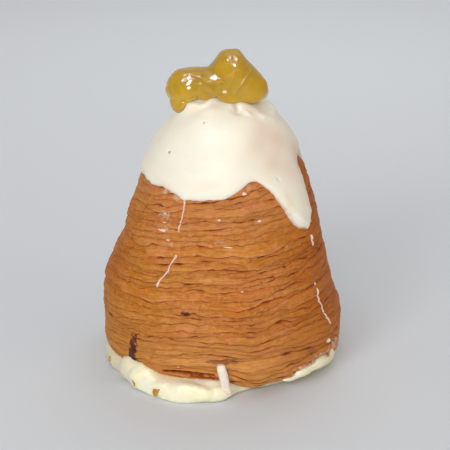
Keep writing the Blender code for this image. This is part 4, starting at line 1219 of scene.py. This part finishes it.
    # Painted shade in the crevices, partly toasted brown.
    colour = n.mix(n.fit(crevice_toast_and_shade, 0.04, 0.6, 0.0, 0.9), colour, brown)
    colour = n.mix(n.fit(crevice_toast_and_shade, 0.6, 1.0, 0.0, 0.95), colour, deep)
    colour = n.mix(n.math("MULTIPLY", specks, 0.08), colour, rgb(236, 180, 120))
    colour = n.mix(n.math("MULTIPLY", film, n.fit(n.noise(n.stretch(place, (1.0, 1.0, 1.6)), 230.0, 2.0, 0.55), 0.36, 0.6, 0.25, 0.95)), colour, rgb(238, 212, 196))
    colour = n.mix(n.math("MULTIPLY", scorch, 0.95), colour, rgb(92, 44, 44))
    n.tree.links.new(colour, shader.inputs["Base Color"])
    n.tree.links.new(n.fit(strands, 0.3, 0.7, 0.42, 0.6), shader.inputs["Roughness"])
    rough_height = n.math("ADD", strands, n.math("MULTIPLY", fine, 0.8))
    rough_height = n.math("SUBTRACT", rough_height, n.math("MULTIPLY", hairline, 0.35))
    rough_height = n.math("ADD", rough_height, n.math("MULTIPLY", blisters, 0.7))
    relief = n.add("ShaderNodeBump", inputs={"Strength": 0.7, "Distance": 0.0006, "Height": rough_height})
    n.tree.links.new(relief.outputs[0], shader.inputs["Normal"])
    shader.inputs["Specular IOR Level"].default_value = 0.16
    shader.inputs["Specular Tint"].default_value = (1.0, 0.72, 0.45, 1.0)
    shader.inputs["Subsurface Weight"].default_value = 0.08
    shader.inputs["Subsurface Radius"].default_value = (1.0, 0.45, 0.2)
    shader.inputs["Subsurface Scale"].default_value = 0.0008
    return material


def icing_material(mottle, name, bright, shade, scale=0.0012):
    """Poured white icing: soft, slightly translucent and glossy."""
    material, n, shader, place = new_material(name)
    grouped = n.add("ShaderNodeGroup", node_tree=mottle, inputs={"Vector": place, "Patch Scale": 90.0, "Speck Scale": 1500.0})
    hole_shade = n.add("ShaderNodeAttribute", attribute_name="hole_shade").outputs["Fac"]
    thin_and_shade = n.add("ShaderNodeAttribute", attribute_name="thin_and_shade").outputs["Fac"]
    colour = n.mix(n.math("MULTIPLY", grouped.outputs["Patches"], 0.35), bright, shade)
    sheer_and_shade = n.add("ShaderNodeAttribute", attribute_name="sheer_and_shade").outputs["Fac"]
    # Partly pastry showing through, partly painted shade.
    colour = n.mix(n.fit(sheer_and_shade, 0.0, 1.0, 0.0, 1.0, False), colour, rgb(228, 202, 184))
    # Pinkish near the icing's edge: partly pastry showing through the thin bead, partly painted shade on its rounded
    # edge.
    colour = n.mix(n.fit(thin_and_shade, 0.75, 1.0, 0.0, 0.35), colour, rgb(236, 212, 196))
    # Painted shade in the pinholes and dents.
    colour = n.mix(n.fit(hole_shade, 0.3, 0.9, 0.0, 0.7), colour, rgb(128, 104, 88))
    n.tree.links.new(colour, shader.inputs["Base Color"])
    n.tree.links.new(n.fit(grouped.outputs["Patches"], 0.0, 1.0, 0.40, 0.50), shader.inputs["Roughness"])
    ripple = n.noise(place, 240.0, 2.0, 0.5)
    height = n.math("ADD", ripple, n.math("MULTIPLY", grouped.outputs["Specks"], 0.05))
    relief = n.add("ShaderNodeBump", inputs={"Strength": 0.18, "Distance": 0.0005, "Height": height})
    n.tree.links.new(relief.outputs[0], shader.inputs["Normal"])
    shader.inputs["Subsurface Weight"].default_value = 0.6
    shader.inputs["Subsurface Radius"].default_value = (1.0, 0.75, 0.45)
    shader.inputs["Subsurface Scale"].default_value = scale
    shader.inputs["Specular IOR Level"].default_value = 0.3
    return material


def fruit_material(mottle):
    """Glossy candied fruit: clear amber-yellow all through, wet with syrup."""
    material, n, shader, place = new_material("syrup_fruit")
    grouped = n.add("ShaderNodeGroup", node_tree=mottle, inputs={"Vector": place, "Patch Scale": 130.0, "Speck Scale": 1100.0})
    veins = n.noise(n.stretch(place, (1.0, 1.0, 0.5)), 240.0, 3.0, 0.6, 0.8)
    colour = n.mix(grouped.outputs["Patches"], rgb(188, 148, 9), rgb(199, 162, 24))
    colour = n.mix(n.fit(veins, 0.5, 0.68, 0.0, 0.3), colour, rgb(184, 140, 6))
    n.tree.links.new(colour, shader.inputs["Base Color"])
    n.tree.links.new(n.fit(veins, 0.3, 0.7, 0.09, 0.15), shader.inputs["Roughness"])
    height = n.math("ADD", veins, n.math("MULTIPLY", grouped.outputs["Specks"], 0.05))
    relief = n.add("ShaderNodeBump", inputs={"Strength": 0.15, "Distance": 0.0005, "Height": height})
    n.tree.links.new(relief.outputs[0], shader.inputs["Normal"])
    shader.inputs["Specular IOR Level"].default_value = 0.2
    shader.inputs["Subsurface Weight"].default_value = 1.0
    shader.inputs["Subsurface Radius"].default_value = (1.0, 0.7, 0.08)
    shader.inputs["Subsurface Scale"].default_value = 0.0025
    shader.inputs["Coat Weight"].default_value = 0.8
    shader.inputs["Coat Roughness"].default_value = 0.06
    shader.inputs["Coat IOR"].default_value = 1.65
    return material


def peel_material(mottle):
    """Amber candied peel, darker and duller than the fruit on top."""
    material, n, shader, place = new_material("amber_peel")
    grouped = n.add("ShaderNodeGroup", node_tree=mottle, inputs={"Vector": place, "Patch Scale": 500.0, "Speck Scale": 2200.0})
    colour = n.mix(grouped.outputs["Patches"], rgb(206, 160, 44), rgb(188, 134, 28))
    n.tree.links.new(colour, shader.inputs["Base Color"])
    n.tree.links.new(n.fit(grouped.outputs["Specks"], 0.0, 1.0, 0.2, 0.4), shader.inputs["Roughness"])
    relief = n.add("ShaderNodeBump", inputs={"Strength": 0.3, "Distance": 0.0003, "Height": grouped.outputs["Patches"]})
    n.tree.links.new(relief.outputs[0], shader.inputs["Normal"])
    shader.inputs["Subsurface Weight"].default_value = 0.4
    shader.inputs["Subsurface Radius"].default_value = (1.0, 0.5, 0.1)
    shader.inputs["Subsurface Scale"].default_value = 0.001
    return material


def cream_material(mottle):
    """Pale yellow ricotta cream, a little grainy, whiter in places."""
    material, n, shader, place = new_material("ricotta_cream")
    grouped = n.add("ShaderNodeGroup", node_tree=mottle, inputs={"Vector": place, "Patch Scale": 130.0, "Speck Scale": 1100.0})
    colour = n.mix(grouped.outputs["Patches"], rgb(255, 251, 224), rgb(255, 246, 208))
    colour = n.mix(n.fit(n.noise(place, 60.0, 2.0), 0.56, 0.7, 0.0, 0.6), colour, rgb(252, 244, 230))
    # Painted shade: greyer towards the far left.
    across = n.add("ShaderNodeSeparateXYZ", inputs={0: place}).outputs[0]
    colour = n.mix(n.fit(across, -0.026, -0.034, 0.0, 0.85), colour, rgb(218, 206, 182))
    n.tree.links.new(colour, shader.inputs["Base Color"])
    n.tree.links.new(n.fit(grouped.outputs["Specks"], 0.0, 1.0, 0.34, 0.5), shader.inputs["Roughness"])
    height = n.math("ADD", grouped.outputs["Patches"], n.math("MULTIPLY", grouped.outputs["Specks"], 0.35))
    relief = n.add("ShaderNodeBump", inputs={"Strength": 0.25, "Distance": 0.0005, "Height": height})
    n.tree.links.new(relief.outputs[0], shader.inputs["Normal"])
    shader.inputs["Subsurface Weight"].default_value = 0.5
    shader.inputs["Subsurface Radius"].default_value = (1.0, 0.8, 0.4)
    shader.inputs["Subsurface Scale"].default_value = 0.0014
    return material


def dress(piece, material, node):
    """Gives a piece its material and its place in the part."""
    piece.data.materials.clear()
    piece.data.materials.append(material)
    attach(piece, "root")
    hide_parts(node)


# ---------------------------------------------------------------- camera, lights and floor

CAMERA_AT, CAMERA_LOOKS_AT, CAMERA_LENS = (0.0, -0.5706, 0.2374), (0.0008, 0.0, 0.0444), 149.66


def aim(thing, target):
    thing.rotation_euler = (Vector(target) - thing.location).to_track_quat("-Z", "Y").to_euler()


def make_camera():
    data = bpy.data.cameras.new("view")
    data.lens, data.sensor_width, data.clip_start, data.clip_end = CAMERA_LENS, 36.0, 0.01, 20.0
    camera = bpy.data.objects.new("view", data)
    bpy.context.scene.collection.objects.link(camera)
    camera.location = CAMERA_AT
    aim(camera, CAMERA_LOOKS_AT)
    bpy.context.scene.camera = camera


# Lights: name, place, what it faces, width, power, colour, lights the surfaces, shows as a glint.
LIGHTS = [
    ("key", (-0.42, -0.86, 0.44), (0, 0, 0.05), 0.42, 4.1, (1.0, 0.98, 0.95), True, False),
    ("fill", (0.75, -0.60, 0.36), (0, 0, 0.05), 0.7, 1.3, (1.0, 0.82, 0.62), True, False),
    ("above", (0.05, 0.2, 0.95), (0, 0, 0.05), 0.8, 0.9, (1.0, 0.96, 0.92), True, True),
    ("front", (-0.05, -0.66, 0.36), (0, 0, 0.05), 0.2, 0.92, (1.0, 1.0, 0.99), True, False),
    ("behind", (0.05, 0.42, 0.45), (0, 0.10, 0.0), 0.5, 0.7, (1.0, 1.0, 1.0), True, False),
    ("glint_left", (-0.20, -0.22, 0.68), (0, 0, 0.09), 0.08, 3.3, (0.96, 1.0, 0.95), False, True),
    ("glint_right", (0.11, -0.22, 0.68), (0, 0, 0.09), 0.07, 2.0, (0.96, 1.0, 0.95), False, True),
    ("glint_front", (-0.08, -0.58, 0.42), (0, 0, 0.09), 0.07, 2.4, (0.96, 1.0, 0.95), False, True),
]


def make_lights():
    for name, place, faces, width, power, colour, lights, glints in LIGHTS:
        data = bpy.data.lights.new(name, "AREA")
        data.shape, data.size, data.energy, data.color = "DISK", width, power, colour
        light = bpy.data.objects.new(name, data)
        bpy.context.scene.collection.objects.link(light)
        light.location = place
        light.visible_diffuse, light.visible_transmission, light.visible_glossy = lights, lights, glints
        aim(light, faces)
    world = bpy.data.worlds.new("soft room")
    world.use_nodes = True
    world.node_tree.nodes["Background"].inputs["Color"].default_value = (1.0, 0.92, 0.85, 1.0)
    world.node_tree.nodes["Background"].inputs["Strength"].default_value = 0.36
    bpy.context.scene.world = world
    bpy.context.scene.view_settings.view_transform = "Standard"
    bpy.context.scene.view_settings.look = "None"


def make_floor():
    """A pale floor that curves up into a plain backdrop."""
    bpy.ops.mesh.primitive_grid_add(x_subdivisions=2, y_subdivisions=60, size=2.0)
    floor = bpy.context.active_object
    floor.name = floor.data.name = "studio_floor"
    for vertex in floor.data.vertices:
        along = (vertex.co.y + 1.0) / 2.0 * 4.4
        x = vertex.co.x * 2.2
        if along < 2.4:
            vertex.co = (x, along - 1.5, 0.0)
        elif along < 3.2:
            turn = (along - 2.4) / 0.8 * math.pi / 2
            vertex.co = (x, 0.9 + 0.5 * math.sin(turn), 0.5 - 0.5 * math.cos(turn))
        else:
            vertex.co = (x, 1.4, 0.5 + (along - 3.2))
    bpy.ops.object.shade_smooth()
    material, n, shader, place = new_material("studio_paper")
    back = n.add("ShaderNodeSeparateXYZ", inputs={0: place}).outputs[1]
    # Painted light: the paper grows lighter towards the backdrop.
    colour = n.mix(n.fit(back, -0.6, 1.1), (0.62, 0.67, 0.73, 1.0), (0.85, 0.91, 0.98, 1.0))
    n.tree.links.new(colour, shader.inputs["Base Color"])
    shader.inputs["Roughness"].default_value = 0.85
    floor.data.materials.append(material)


# ---------------------------------------------------------------- the whole sfogliatella


def main():
    bpy.ops.object.select_all(action="DESELECT")
    make_camera()
    make_lights()
    make_floor()
    mottle = mottle_group()
    baked = pastry_material(mottle)
    icing = icing_material(mottle, "poured_icing", rgb(250, 245, 231), rgb(247, 240, 221))
    dried = icing_material(mottle, "dried_icing", rgb(246, 236, 227), rgb(238, 224, 212), 0.0005)
    thin_run = icing_material(mottle, "thin_icing", rgb(238, 218, 210), rgb(224, 200, 190), 0.0003)
    fruit, peel, cream = fruit_material(mottle), peel_material(mottle), cream_material(mottle)
    layers = make_pastry()
    for piece in layers:
        dress(piece, baked, "pastry_shell")
    dress(make_icing(), icing, "white_icing")
    for piece, node in zip(make_fruit(), ("candied_fruit_left", "candied_fruit_right")):
        dress(piece, fruit, node)
    cream_piece = make_cream()
    dress(cream_piece, cream, "cream_filling")
    tree = BVHTree.FromPolygons(
        [v.co.copy() for v in cream_piece.data.vertices], [list(p.vertices) for p in cream_piece.data.polygons]
    )
    dress(make_peel(tree), peel, "cream_filling")
    dress(make_threads(pastry_tree(layers)), thin_run, "white_icing")
    dress(make_strip(), dried, "white_icing")


main()
